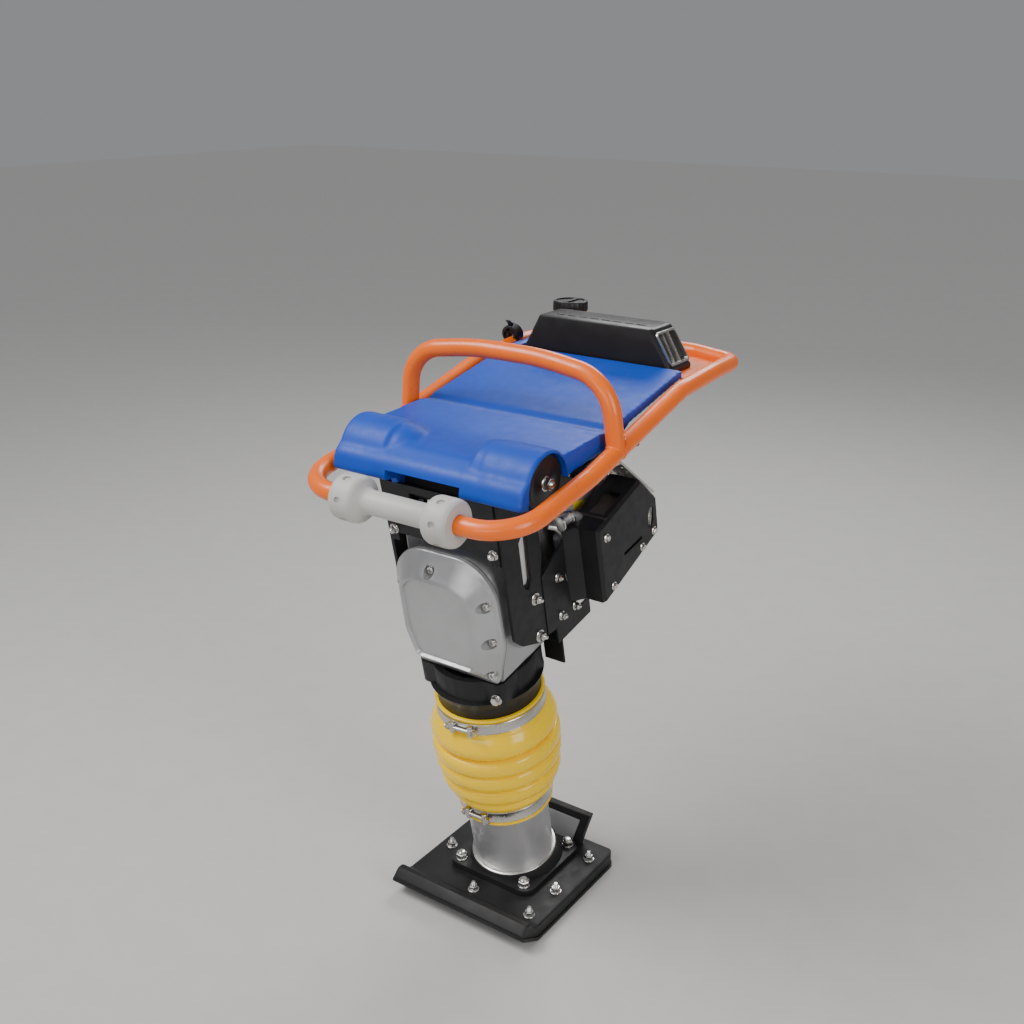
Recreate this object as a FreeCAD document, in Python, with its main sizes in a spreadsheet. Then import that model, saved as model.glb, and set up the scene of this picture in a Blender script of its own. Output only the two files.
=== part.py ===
import FreeCAD, Part
import math
import os
import re
import Sketcher

# Jumping jack rammer, millimetres and degrees.
# Row frame: +Z up, +X to the machine's right, -Y to its front (the roller side).
# Origin: on the ground, under the middle of the foot flange.
# Leg frame: the same axes, lifted to the foot joint and leaned forward about X, so that
# its Z runs up the leg and its Y runs to the rear, along the crankshafts.

Vector = FreeCAD.Vector
doc = FreeCAD.newDocument("JumpingJackRammer")
sheet = doc.addObject("Spreadsheet::Sheet", "Dimensions")

DIMENSIONS = {
    # leg frame
    "leg_lean": 11.5,
    "foot_joint_height": 45,
    # shoe
    "sole_width": 296,
    "sole_thick": 6,
    "sole_front": 140,
    "sole_rear": 130,
    "toe_reach": 48,
    "toe_rise": 28,
    "shoe_top": 30,
    "lip_top": 51,
    "tongue_half": 96,
    "tongue_top": 93,
    "flange_size": 184,
    "flange_top": 42,
    "flange_bolt_pitch_x": 142.6,
    "flange_bolt_pitch_y": 148.8,
    "shoe_bolt_pitch": 240,
    # leg
    "cylinder_rad": 74.5,
    "cylinder_bore": 69.5,
    "cylinder_top": 375,
    "cap_top": 385,
    "collar_low": 150,
    "collar_high": 186,
    "collar_rad": 82,
    "guide_rad": 91,
    "guide_low": 262,
    "guide_bore": 80,
    "guide_top": 479,
    "running_gap": 0.08,
    "bellows_low": 150,
    "bellows_high": 399,
    "clamp_thick": 2.2,
    "piston_low": 182,
    "piston_high": 200,
    "rod_rad": 16,
    # crank drive
    "gear_height": 575,
    "crank_throw": 18,
    "conrod_reach": 98,
    "gear_module": 2,
    "gear_teeth": 72,
    "pinion_teeth": 13,
    "crankpin_rad": 10,
    "gearshaft_rad": 20,
    "pinionshaft_rad": 9,
    # crankcase
    "case_front": 62,
    "case_rear": 62,
    "case_wall": 12,
    "case_low": 480,
    "case_high": 706,
    "case_half": 95,
    "cover_thick": 8,
    "cover_rise": 31,
    "cover_half": 104,
    "cover_low": 479.5,
    "cover_high": 713,
    # arms and isolators
    "arm_inner": 109,
    "arm_thick": 6,
    "isolator_y": -3,
    "isolator_z": 843,
    "isolator_rad": 36,
    "bracket_inner": 164,
    "bracket_thick": 5,
    # engine
    "engine_front": 116,
    "engine_rear": 228,
    "engine_half": 74,
    "engine_low": 486,
    "engine_high": 735,
    "shell_inner": 117,
    "shell_outer": 178,
    "shell_wall": 3,
    # handle
    "handle_half": 208,
    "tube_rad": 15,
    "tube_wall": 2.5,
    "handle_front": 304,
    "front_height": 833,
    "weld_back": 20,
    "rail_height": 888.4,
    "rail_slope": 0.2606,
    "hoop_top": 1018,
    "drum_rad": 37.5,
    "waist_rad": 19.5,
    "drum_out": 113,
    "drum_in": 66,
    # tank and air cleaner
    "tank_half": 184,
    "tank_skin": 16,
    "crease_back": 8,
    "crease_height": 912,
    "bulge_rad": 58,
    "box_low": 957,
    "box_high": 1024,
    "cap_rad": 34,
}

for row, (alias, value) in enumerate(DIMENSIONS.items(), start=1):
    sheet.set(f"A{row}", alias)
    sheet.set(f"B{row}", str(value))
    sheet.setAlias(f"B{row}", alias)
doc.recompute()

NODES = []


# ---------------------------------------------------------------- helpers

def with_sheet(text):
    """The expression with each alias written as a cell of the sheet."""
    def name_cell(match):
        word = match.group()
        return f"Dimensions.{word}" if word in DIMENSIONS else word
    return re.sub(r"[a-z][a-z_]*", name_cell, str(text))


def number(text):
    """The present value of an expression over the sheet."""
    return float(sheet.evalExpression(with_sheet(text)))


def bind(item, prop, text):
    item.setExpression(prop, with_sheet(text))


def move_to(item, place):
    for axis, text in zip("xyz", place):
        bind(item, f"Placement.Base.{axis}", text)
    return item


def less_half(place, size):
    return [f"({p}) - ({s}) / 2" for p, s in zip(place, size)]


def box(size, centre):
    """A block of this size about this centre."""
    item = doc.addObject("Part::Box", "Block")
    for prop, text in zip(("Length", "Width", "Height"), size):
        bind(item, prop, text)
    return move_to(item, less_half(centre, size))


PRIMITIVES = ("Part::Box", "Part::Cylinder", "Part::Cone", "Part::Prism")
TURNS = {
    "x": FreeCAD.Rotation(Vector(0, 1, 0), 90),
    "y": FreeCAD.Rotation(Vector(1, 0, 0), -90),
    "z": FreeCAD.Rotation(),
}


def rod(radius, length, start, axis="z"):
    """A cylinder that grows from start along an axis."""
    item = doc.addObject("Part::Cylinder", "Rod")
    bind(item, "Radius", radius)
    bind(item, "Height", length)
    item.Placement.Rotation = TURNS[axis]
    return move_to(item, start)


def taper(radius_start, radius_end, length, start, axis="z"):
    item = doc.addObject("Part::Cone", "Taper")
    bind(item, "Radius1", radius_start)
    bind(item, "Radius2", radius_end)
    bind(item, "Height", length)
    item.Placement.Rotation = TURNS[axis]
    return move_to(item, start)


def hexagon(across, length, start, axis="z"):
    item = doc.addObject("Part::Prism", "Hexagon")
    item.Polygon = 6
    bind(item, "Circumradius", f"({across}) / sqrt(3)")
    bind(item, "Height", length)
    item.Placement.Rotation = TURNS[axis]
    return move_to(item, start)


def fuse(*parts):
    if len(parts) == 1:
        return parts[0]
    item = doc.addObject("Part::MultiFuse", "Fusion")
    item.Shapes = list(parts)
    item.Refine = True
    return item


def cut(base, *tools):
    item = doc.addObject("Part::Cut", "Cut")
    item.Base = base
    item.Tool = fuse(*tools)
    item.Refine = True
    return item


def common(base, tool):
    item = doc.addObject("Part::Common", "Common")
    item.Base = base
    item.Tool = tool
    return item


def several(*parts):
    """Separate solids that share one node."""
    item = doc.addObject("Part::Compound", "Group")
    item.Links = list(parts)
    return item


def mirrored(item):
    """The same piece on the machine's other side."""
    twin = doc.addObject("Part::Mirroring", "Mirror")
    twin.Source = item
    twin.Normal = Vector(1, 0, 0)
    return twin


def shape_item(shape):
    item = doc.addObject("Part::Feature", "Shape")
    item.Shape = shape
    return item


def lean(item):
    """Stands a piece of the leg frame in the row frame."""
    if item.TypeId in PRIMITIVES:
        item = several(item)
    item.Placement = FreeCAD.Placement(Vector(), FreeCAD.Rotation(Vector(1, 0, 0), 1))
    bind(item, "Placement.Base.z", "foot_joint_height")
    bind(item, "Placement.Rotation.Angle", "leg_lean")
    return item


def node(label, item):
    item.Label = label
    NODES.append(item)
    return item


def leg_node(label, item):
    return node(label, lean(item))


def new_body():
    return doc.addObject("PartDesign::Body", "Body")


def sketch_on(body, plane, offset="0"):
    """A sketch on one of the body's own planes; offset is a coordinate along the plane's axis."""
    sketch = body.newObject("Sketcher::SketchObject", "Sketch")
    base = next(f for f in body.Origin.OriginFeatures if f.Role == plane + "_Plane")
    sketch.AttachmentSupport = [(base, "")]
    sketch.MapMode = "FlatFace"
    sign = "-1" if plane == "XZ" else "1"
    bind(sketch, "AttachmentOffset.Base.z", f"{sign} * ({offset})")
    return sketch


def draw_outline(sketch, points):
    """A closed outline of straight edges, each corner tied to its two expressions."""
    start = [Vector(number(a), number(b), 0) for a, b in points]
    first = sketch.GeometryCount
    count = len(points)
    for i in range(count):
        sketch.addGeometry(Part.LineSegment(start[i], start[(i + 1) % count]), False)
    for i in range(count):
        joint = Sketcher.Constraint("Coincident", first + i, 2, first + (i + 1) % count, 1)
        sketch.addConstraint(joint)
    for i, corner in enumerate(points):
        values = (start[i].x, start[i].y)
        for kind, text, value in zip(("DistanceX", "DistanceY"), corner, values):
            made = sketch.addConstraint(Sketcher.Constraint(kind, -1, 1, first + i, 1, value))
            bind(sketch, f"Constraints[{made}]", text)
    return start


def draw_circles(sketch, circles):
    """Circles, each an x, a y and a radius."""
    for a, b, radius in circles:
        centre = Vector(number(a), number(b), 0)
        circle = Part.Circle(centre, Vector(0, 0, 1), number(radius))
        made = sketch.addGeometry(circle, False)
        ties = (
            (Sketcher.Constraint("DistanceX", -1, 1, made, 3, centre.x), a),
            (Sketcher.Constraint("DistanceY", -1, 1, made, 3, centre.y), b),
            (Sketcher.Constraint("Radius", made, number(radius)), radius),
        )
        for tie, text in ties:
            bind(sketch, f"Constraints[{sketch.addConstraint(tie)}]", text)


def flat_point(point, plane):
    return {"XY": (point.x, point.y), "XZ": (point.x, point.z), "YZ": (point.y, point.z)}[plane]


def edges_at(shape, plane, corner):
    """Names of the edges that stand on an outline's corner, square to its plane."""
    names = []
    for i, edge in enumerate(shape.Edges, start=1):
        ends = [flat_point(v.Point, plane) for v in edge.Vertexes]
        near = [math.dist(end, (corner.x, corner.y)) < 0.01 for end in ends]
        if len(near) == 2 and all(near):
            names.append(f"Edge{i}")
    return names


def plate(plane, outline, thick, centre="0", rounds=(), holes=()):
    """A flat piece: an outline padded to both sides of centre, rounded corners, round holes."""
    body = new_body()
    sketch = sketch_on(body, plane, centre)
    corners = draw_outline(sketch, outline)
    pad = body.newObject("PartDesign::Pad", "Pad")
    pad.Profile = sketch
    pad.Midplane = True
    bind(pad, "Length", thick)
    doc.recompute()
    last = pad
    for radius, chosen in rounds:
        names = [n for i in chosen for n in edges_at(last.Shape, plane, corners[i])]
        fillet = body.newObject("PartDesign::Fillet", "Fillet")
        fillet.Base = (last, names)
        bind(fillet, "Radius", radius)
        doc.recompute()
        last = fillet
    if holes:
        hole_sketch = sketch_on(body, plane, centre)
        draw_circles(hole_sketch, holes)
        pocket = body.newObject("PartDesign::Pocket", "Pocket")
        pocket.Profile = hole_sketch
        pocket.Type = "ThroughAll"
        pocket.Midplane = True
    doc.recompute()
    return body


def turned(profile, about="Z"):
    """A body of revolution; the profile's corners are a radius and a height along the axis."""
    body = new_body()
    sketch = sketch_on(body, "XZ")
    points = [(r, z) if about == "Z" else (z, r) for r, z in profile]
    draw_outline(sketch, points)
    spin = body.newObject("PartDesign::Revolution", "Revolution")
    spin.Profile = sketch
    spin.ReferenceAxis = (sketch, ["V_Axis" if about == "Z" else "H_Axis"])
    spin.Angle = 360
    doc.recompute()
    return body


def ring(inner, outer, low, high):
    return turned([(inner, low), (outer, low), (outer, high), (inner, high)])


def rounded_path(points, radii):
    """Straight runs joined by tangent arcs, one radius for each inner point."""
    edges = []
    last = points[0]
    for i, radius in zip(range(1, len(points) - 1), radii):
        corner = points[i]
        back = (points[i - 1] - corner).normalize()
        ahead = (points[i + 1] - corner).normalize()
        half_turn = (math.pi - back.getAngle(ahead)) / 2
        reach = radius * math.tan(half_turn)
        start = corner + back * reach
        end = corner + ahead * reach
        middle = (back + ahead).normalize() * (radius / math.cos(half_turn) - radius)
        edges.append(Part.LineSegment(last, start).toShape())
        edges.append(Part.Arc(start, corner + middle, end).toShape())
        last = end
    edges.append(Part.LineSegment(last, points[-1]).toShape())
    return Part.Wire(edges)


def tube_along(path, radius):
    """A round bar bent along a path."""
    start = path.OrderedEdges[0]
    section = Part.makeCircle(radius, start.Vertexes[0].Point, start.tangentAt(start.FirstParameter))
    return path.makePipeShell([Part.Wire(section)], True, False)


def steel_tube(path):
    """A bent tube of the handle's own stock, open at both ends."""
    outer = tube_along(path, number("tube_rad"))
    return outer.cut(tube_along(path, number("tube_rad - tube_wall")))


def both_sides(points):
    """The points, then the same points mirrored in X, in reverse order."""
    return points + [Vector(-p.x, p.y, p.z) for p in reversed(points)]


def bolt_along_x(side, y, z, start, across=13, washer=11):
    """A flanged hexagon head that stands out of a side face."""
    parts = (
        rod(washer, 3, (start, y, z), "x"),
        hexagon(across, 9, (f"({start}) + 3", y, z), "x"),
    )
    head = fuse(*parts)
    return head if side > 0 else mirrored(head)


# ---------------------------------------------------------------- foot

def sole_plate():
    front = "-sole_front"
    toe = "-sole_front - toe_reach"
    outline = [
        ("sole_rear", "0"),
        ("sole_rear", "sole_thick"),
        (f"{front} + 1.4", "sole_thick"),
        (f"{toe} + 2.6", "toe_rise + 5.4"),
        (toe, "toe_rise"),
        (front, "0"),
    ]
    side_view = plate("YZ", outline, "sole_width")
    half = "sole_width / 2"
    plan = [
        (f"-({half})", "-200"),
        (half, "-200"),
        (half, "sole_rear"),
        (f"-({half})", "sole_rear"),
    ]
    top_view = plate("XY", plan, "120", "0", [("22", (2, 3))])
    return node("sole_plate", common(side_view, top_view))


def shoe_block():
    front = "-sole_front + 1.4"
    toe = "-sole_front - toe_reach + 2.6"
    outline = [
        ("sole_rear - 2", "sole_thick"),
        ("sole_rear - 2", "shoe_top"),
        ("-sole_front + 4", "shoe_top"),
        ("-152", "shoe_top + 5"),
        ("-160", "lip_top - 2"),
        ("-164", "lip_top"),
        ("-173", "lip_top"),
        ("-189", "shoe_top + 7"),
        (toe, "toe_rise + 5.4"),
        (front, "sole_thick"),
    ]
    side_view = plate("YZ", outline, "sole_width")
    low_half = "sole_width / 2 - 1"
    top_half = "sole_width / 2 - 9"
    front_view = plate("XZ", [
        (f"-({low_half})", "0"),
        (low_half, "0"),
        (top_half, "lip_top + 5"),
        (f"-({top_half})", "lip_top + 5"),
    ], "500")
    half = "sole_width / 2"
    plan = [(f"-({half})", "-200"), (half, "-200"), (half, "sole_rear - 2"), (f"-({half})", "sole_rear - 2")]
    top_view = plate("XY", plan, "120", "0", [("20", (2, 3))])
    block = common(common(side_view, front_view), top_view)
    tongue = sloped_slab("shoe_top - 4", "tongue_top", 0, 15, 0)
    recess = sloped_slab("shoe_top + 2", "tongue_top - 14", -12, 16, 17)
    return node("shoe_block", cut(fuse(block, tongue), recess))


def sloped_slab(low, high, front, thick, inset):
    """A slab that leans back and widens upwards, as the upturned tongue at the heel does."""
    def across(height, half_width):
        rise = f"(({height}) - shoe_top) / (tongue_top - shoe_top)"
        near = f"97 + {front} + 17 * {rise}"
        far = f"97 + {front} + {thick} + 17 * {rise}"
        half = f"{half_width} - {inset} - 14 * (1 - {rise})"
        return [(f"-({half})", near), (half, near), (half, far), (f"-({half})", far)]
    return loft(across(low, "tongue_half"), across(high, "tongue_half"), "XY", low, high)


def heel_plate():
    liner = sloped_slab("shoe_top + 2.3", "tongue_top - 14.3", 0, 3.6, 17.3)
    return node("heel_plate", liner)


def shoe_bolt(x, y):
    parts = (
        rod("11", "2.5", (x, y, "shoe_top + 0.02")),
        hexagon("15", "8", (x, y, "shoe_top + 2.5")),
        rod("4", "8", (x, y, "shoe_top + 10")),
    )
    return fuse(*parts)


def shoe_bolts():
    half = "shoe_bolt_pitch / 2"
    places = [(f"-({half})", "-42"), (half, "-42"), (f"-({half})", "73"), (half, "73")]
    places += [("-7", "-124"), ("117", "-124")]
    return node("shoe_bolts", several(*[shoe_bolt(x, y) for x, y in places]))


def foot_flange():
    half = "flange_size / 2"
    plan = [(f"-({half})", f"-({half})"), (half, f"-({half})"), (half, half), (f"-({half})", half)]
    base = plate("XY", plan, "flange_top - shoe_top", "(flange_top + shoe_top) / 2", [("24", (0, 1, 2, 3))])
    collar = lean(taper("92", "82", "40", ("0", "0", "-22")))
    above = box(("300", "300", "200"), ("0", "0", "shoe_top + 100"))
    socket = lean(rod("cylinder_rad + 0.02", "60", ("0", "0", "0.6")))
    solid = fuse(base, common(collar, above))
    return node("foot_flange", cut(solid, socket))


def flange_bolt(x, y):
    parts = (
        rod("11", "3", (x, y, "flange_top + 0.02")),
        hexagon("19", "9", (x, y, "flange_top + 3")),
        taper("10", "5", "6", (x, y, "flange_top + 12")),
    )
    return fuse(*parts)


def flange_bolts():
    half_x = "flange_bolt_pitch_x / 2"
    half_y = "flange_bolt_pitch_y / 2"
    places = [(f"{a} * {half_x}", f"{b} * {half_y}") for a in (-1, 1) for b in (-1, 1)]
    return node("flange_bolts", several(*[flange_bolt(x, y) for x, y in places]))


def spring_cylinder():
    wall = [
        ("cylinder_bore", "0.7"),
        ("cylinder_rad - 2", "0.7"),
        ("cylinder_rad", "5"),
        ("cylinder_rad", "collar_low - 6"),
        ("collar_rad", "collar_low"),
        ("collar_rad", "collar_high"),
        ("cylinder_rad", "collar_high + 4"),
        ("cylinder_rad", "cylinder_top"),
        ("cylinder_bore", "cylinder_top"),
    ]
    return leg_node("spring_cylinder", turned(wall))


def cylinder_cap():
    cap = ring("rod_rad + running_gap", "cylinder_rad", "cylinder_top", "cap_top")
    return leg_node("cylinder_cap", cap)


def coil(low, high, radius, wire, turns):
    """A compression spring that stands on the leg axis."""
    height = high - low - 2 * wire
    path = Part.makeHelix(height / turns, height, radius)
    path.translate(Vector(0, 0, low + wire))
    start = path.Edges[0]
    across = Part.makeCircle(wire, start.Vertexes[0].Point, start.tangentAt(start.FirstParameter))
    return Part.Wire(path.Edges).makePipeShell([Part.Wire(across)], True, True)


def springs():
    gap = 1.5
    lower = coil(gap + 0.7, number("piston_low") - gap, 50, 6, 7)
    upper = coil(number("piston_high") + gap, number("cylinder_top") - gap, 50, 6, 7)
    leg_node("lower_spring", shape_item(lower))
    leg_node("upper_spring", shape_item(upper))


def bellows():
    """Stacked rings between two plain collars, fat at the top and slimmer downwards."""
    seams = (188, 210, 246, 281, 315)
    roots = (89, 94, 101, 106, 108.5)
    crests = (98, 107.5, 112.5, 115)
    low = number("bellows_low")
    high = number("bellows_high")
    edges = []

    def line(a, b):
        edges.append(Part.LineSegment(Vector(a[0], 0, a[1]), Vector(b[0], 0, b[1])).toShape())

    lower_band = number("collar_rad") + 3
    upper_band = number("guide_rad") + 4
    line((lower_band - 2.9, low), (lower_band + 2.5, low))
    line((lower_band + 2.5, low), (lower_band + 2.5, low + 3))
    line((lower_band + 2.5, low + 3), (lower_band, low + 4))
    line((lower_band, low + 4), (lower_band, 183))
    line((lower_band, 183), (roots[0], seams[0]))
    for i, crest in enumerate(crests):
        a = Vector(roots[i], 0, seams[i])
        b = Vector(roots[i + 1], 0, seams[i + 1])
        middle = Vector(crest, 0, (seams[i] + seams[i + 1]) / 2)
        edges.append(Part.Arc(a, middle, b).toShape())
    shoulder = Vector(upper_band + 2, 0, 362)
    edges.append(Part.Arc(Vector(roots[-1], 0, seams[-1]), Vector(113, 0, 335), shoulder).toShape())
    line((upper_band + 2, 362), (upper_band, 366))
    line((upper_band, 366), (upper_band, 394))
    line((upper_band, 394), (upper_band + 2.5, 395))
    line((upper_band + 2.5, 395), (upper_band + 2.5, high))
    line((upper_band + 2.5, high), (upper_band - 3.7, high))
    line((upper_band - 3.7, high), (upper_band - 3.7, 250))
    line((upper_band - 3.7, 250), (lower_band - 2.9, 186.5))
    line((lower_band - 2.9, 186.5), (lower_band - 2.9, low))
    face = Part.Face(Part.Wire(edges))
    skin = face.revolve(Vector(), Vector(0, 0, 1), 360)
    return leg_node("bellows", shape_item(skin))


def clamp(label, inner, low, high, turn):
    """A worm of sheet steel round a collar, pulled up by a T-bolt through two lugs."""
    band = ring(inner, f"{inner} + clamp_thick", low, high)
    middle = f"({low} + {high}) / 2"
    lugs = [box(("4", "12", "16"), (f"{side} * 16", f"-({inner}) - 7", middle)) for side in (-1, 1)]
    bolt = rod("3.5", "56", ("-28", f"-({inner}) - 8", middle), "x")
    nut = hexagon("11", "7", ("18.2", f"-({inner}) - 8", middle), "x")
    whole = fuse(band, *lugs, bolt, nut)
    holder = doc.addObject("Part::Compound", "Group")
    holder.Links = [whole]
    whole.Placement = FreeCAD.Placement(Vector(), FreeCAD.Rotation(Vector(0, 0, 1), turn))
    return leg_node(label, holder)


# ---------------------------------------------------------------- upper leg

def guide_cylinder():
    tube = turned([
        ("guide_bore", "guide_low"),
        ("guide_rad", "guide_low"),
        ("guide_rad", "guide_top"),
        ("guide_bore", "guide_top"),
    ])
    half = "case_half - 8"
    plan = [(f"-({half})", "-74"), (half, "-74"), (half, "58"), (f"-({half})", "58")]
    corners = (0, 1, 2, 3)
    flange = plate("XY", plan, "guide_top - 436", "(guide_top + 436) / 2", [("14", corners)])
    neck = taper("guide_rad", "guide_rad + 9", "20", ("0", "0", "416.5"))
    bore = rod("guide_bore", "400", ("0", "0", "200"))
    return leg_node("guide_cylinder", cut(fuse(tube, flange, neck), bore))


def guide_bush():
    bush = ring("cylinder_rad + running_gap", "guide_bore", "guide_low + 2", "guide_top - 12")
    return leg_node("guide_bush", bush)


def drain_plug():
    return fuse(
        rod("10", "4", ("76", "-78.1", "450"), "y"),
        hexagon("14", "8", ("76", "-86", "450"), "y"),
    )


# ---------------------------------------------------------------- crankcase

def shield(half, low, high, foot_half):
    """The casting's outline from the front: a narrow foot, full sides and a domed top."""
    return [
        (f"-({foot_half})", low),
        (foot_half, low),
        (half, f"({low}) + 82"),
        (f"({half}) - 4", high),
        (f"-({half}) + 4", high),
        (f"-({half})", f"({low}) + 82"),
    ]


def crankcase():
    outer = shield("case_half", "case_low", "case_high", "case_half - 8")
    depth = "case_front + case_rear"
    shell = plate("XZ", outer, depth, "0", [("58", (3, 4)), ("60", (2, 5)), ("8", (0, 1))])
    inner = shield("case_half - 10", "case_low + 10", "case_high - 10", "case_half - 20")
    cavity = plate("XZ", inner, depth, "-case_wall", [("50", (3, 4)), ("50", (2, 5))])
    boss = box(("2 * arm_inner - 1", "78", "96"), ("0", "6", "585"))
    boss_core = box(("2 * case_half - 14", "200", "140"), ("0", "0", "585"))
    bosses = cut(boss, boss_core)
    leg_bore = rod("guide_bore - 12", "20", ("0", "0", "case_low - 5"))
    gear_seat = rod("gearshaft_rad + 14", "40", ("0", "case_rear - 30", "gear_height"), "y")
    pinion_seat = rod("pinionshaft_rad + 10", "40", ("0", "case_rear - 30", PINION_HEIGHT), "y")
    solid = cut(fuse(shell, bosses), cavity, leg_bore, gear_seat, pinion_seat)
    return leg_node("crankcase", solid)


SCREWS = (
    ("-10", "689"),
    ("87", "642"),
    ("88", "573"),
    ("77", "502"),
    ("-77", "502"),
    ("-88", "573"),
    ("-87", "642"),
)


def cover_outline(inset):
    return shield(f"cover_half - {inset}", f"cover_low + {inset}", f"cover_high - {inset}",
                  f"82 - {inset}")


def panel_outline(inset):
    """The raised panel's outline, clipped at its corners."""
    right = [
        (f"50 - {inset}", f"516 + {inset}"),
        (f"66 - {inset}", f"530 + {inset}"),
        (f"71 - {inset}", f"650 - {inset}"),
        (f"46 - {inset}", f"677 - {inset}"),
    ]
    return right + [(f"-({x})", z) for x, z in reversed(right)]


def slope_outline(inset):
    """Where the cover's sloping sides meet its rim."""
    right = [
        (f"72 - {inset}", f"486 + {inset}"),
        (f"95 - {inset}", f"548 + {inset}"),
        (f"95 - {inset}", f"664 - {inset}"),
        (f"60 - {inset}", f"704 - {inset}"),
    ]
    return right + [(f"-({x})", z) for x, z in reversed(right)]


def crankcase_gasket():
    rounds = [("70", (3, 4)), ("60", (2, 5)), ("12", (0, 1))]
    sheet_of_paper = plate("XZ", cover_outline(0), "1", "-case_front - 0.5", rounds)
    inner = plate("XZ", slope_outline(8), "4", "-case_front - 0.5")
    return leg_node("crankcase_gasket", cut(sheet_of_paper, inner))


def crankcase_cover():
    """A dished casting: a screwed rim, sloping sides and a flat panel sunk a little in front."""
    rounds = [("70", (3, 4)), ("60", (2, 5)), ("12", (0, 1))]
    back = "-case_front - 1"
    rim_front = f"{back} - cover_thick"
    panel_front = f"{rim_front} - cover_rise"
    rim = plate("XZ", cover_outline(0), "cover_thick", f"{back} - cover_thick / 2", rounds)
    slopes = loft(slope_outline(0), panel_outline(0), "XZ", rim_front, panel_front)
    panel_sink = plate("XZ", panel_outline(4), "4", panel_front)
    inside = loft(slope_outline(8), panel_outline(8), "XZ", f"{back} + 1", f"{panel_front} + 7")
    seats = [rod("10", "60", (x, f"{rim_front} - 60", z), "y") for x, z in SCREWS]
    return leg_node("crankcase_cover", cut(fuse(rim, slopes), panel_sink, inside, *seats))


def cover_screws():
    start = "-case_front - 1 - cover_thick - 5.04"
    heads = [rod("6.5", "5", (x, start, z), "y") for x, z in SCREWS]
    keys = [hexagon("6", "3", (x, f"{start} - 0.5", z), "y") for x, z in SCREWS]
    return leg_node("cover_screws", several(*[cut(h, k) for h, k in zip(heads, keys)]))


def arm_plate():
    """One side's arm: a tall plate with a long lightening slot and the isolator's eye."""
    outline = [
        ("-54", "566"),
        ("-36", "545"),
        ("6", "524"),
        ("34", "524"),
        ("34", "640"),
        ("44", "680"),
        ("38", "846"),
        ("14", "884"),
        ("-28", "884"),
        ("-54", "846"),
    ]
    eye = ("isolator_y", "isolator_z", "9")
    rounds = [("18", (0, 1)), ("10", (2,)), ("20", (7, 8))]
    arm = plate("YZ", outline, "arm_thick", "arm_inner + arm_thick / 2", rounds, [eye])
    slot = plate("YZ", [
        ("-13", "650"),
        ("-9", "640"),
        ("0", "634"),
        ("9", "648"),
        ("12", "728"),
        ("0", "740"),
        ("-12", "728"),
    ], "arm_thick + 4", "arm_inner + arm_thick / 2")
    lug_holes = [rod("5", "20", ("arm_inner - 5", "12", z), "x") for z in ("609", "536")]
    return cut(arm, slot, *lug_holes)


def arms():
    leg_node("right_arm", arm_plate())
    twin = doc.addObject("Part::Compound", "Group")
    twin.Links = [mirrored(arm_plate())]
    leg_node("left_arm", twin)


def cross_plate():
    """The bent plate that ties the two arms together above the crankcase."""
    face = box(("2 * arm_inner - 0.4", "5", "96"), ("0", "-54", "770"))
    shelf = box(("2 * arm_inner - 0.4", "60", "5"), ("0", "-24", "746"))
    window = box(("110", "30", "28"), ("0", "-54", "790"))
    tabs = [box(("16", "5", "26"), (f"{side} * (arm_inner - 8.4)", "-54", "720")) for side in (-1, 1)]
    return leg_node("cross_plate", cut(fuse(face, shelf, *tabs), window))


def arm_bolts():
    start = "arm_inner + arm_thick + 0.02"
    heads = [bolt_along_x(side, "12", z, start) for side in (-1, 1) for z in ("609", "536")]
    front = []
    for side in (-1, 1):
        place = f"{side} * (arm_inner - 10)"
        front.append(fuse(
            rod("8", "2.5", (place, "-59.1", "729"), "y"),
            hexagon("12", "9", (place, "-68", "729"), "y"),
        ))
    return heads + front


# ---------------------------------------------------------------- crank drive

def gear_outline(teeth, module, backlash):
    """A spur gear's wire with involute flanks, 25 degree pressure angle."""
    pressure = math.radians(25)
    pitch = teeth * module / 2
    base = pitch * math.cos(pressure)
    tip = pitch + module
    root = pitch - 1.2 * module
    half_pitch_tooth = math.pi / (2 * teeth) - backlash / (2 * pitch)
    half_base_tooth = half_pitch_tooth + math.tan(pressure) - pressure
    steps = 4
    first = math.sqrt(max((max(root, base) / base) ** 2 - 1, 0))
    last = math.sqrt((tip / base) ** 2 - 1)
    flank = []
    for i in range(steps + 1):
        roll = first + (last - first) * i / steps
        radius = base * math.sqrt(1 + roll * roll)
        flank.append((radius, half_base_tooth - (roll - math.atan(roll))))
    points = []
    for tooth in range(teeth):
        centre = 2 * math.pi * tooth / teeth
        points.append((root, centre - flank[0][1] * 1.02))
        points += [(r, centre - a) for r, a in flank]
        points += [(r, centre + a) for r, a in reversed(flank)]
        points.append((root, centre + flank[0][1] * 1.02))
    corners = [Vector(r * math.sin(a), 0, r * math.cos(a)) for r, a in points]
    return Part.makePolygon(corners + corners[:1])


def toothed_wheel(teeth, front, thick, height):
    """A spur gear with one tooth pointing straight up the leg."""
    wire = gear_outline(teeth, number("gear_module"), 0.25)
    wheel = Part.Face(wire).extrude(Vector(0, thick, 0))
    wheel.translate(Vector(0, front, height))
    return shape_item(wheel)


def crank_gear():
    teeth = int(number("gear_teeth"))
    wheel = toothed_wheel(teeth, 24, 16, number("gear_height"))
    parts = (
        wheel,
        rod("30", "9", ("0", "40", "gear_height"), "y"),
        rod("gearshaft_rad", "22", ("0", "40", "gear_height"), "y"),
        rod("crankpin_rad", "37", ("0", "-12", "gear_height - crank_throw"), "y"),
    )
    return leg_node("crank_gear", fuse(*parts))


PINION_HEIGHT = "gear_height + gear_module * (gear_teeth + pinion_teeth) / 2"


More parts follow.
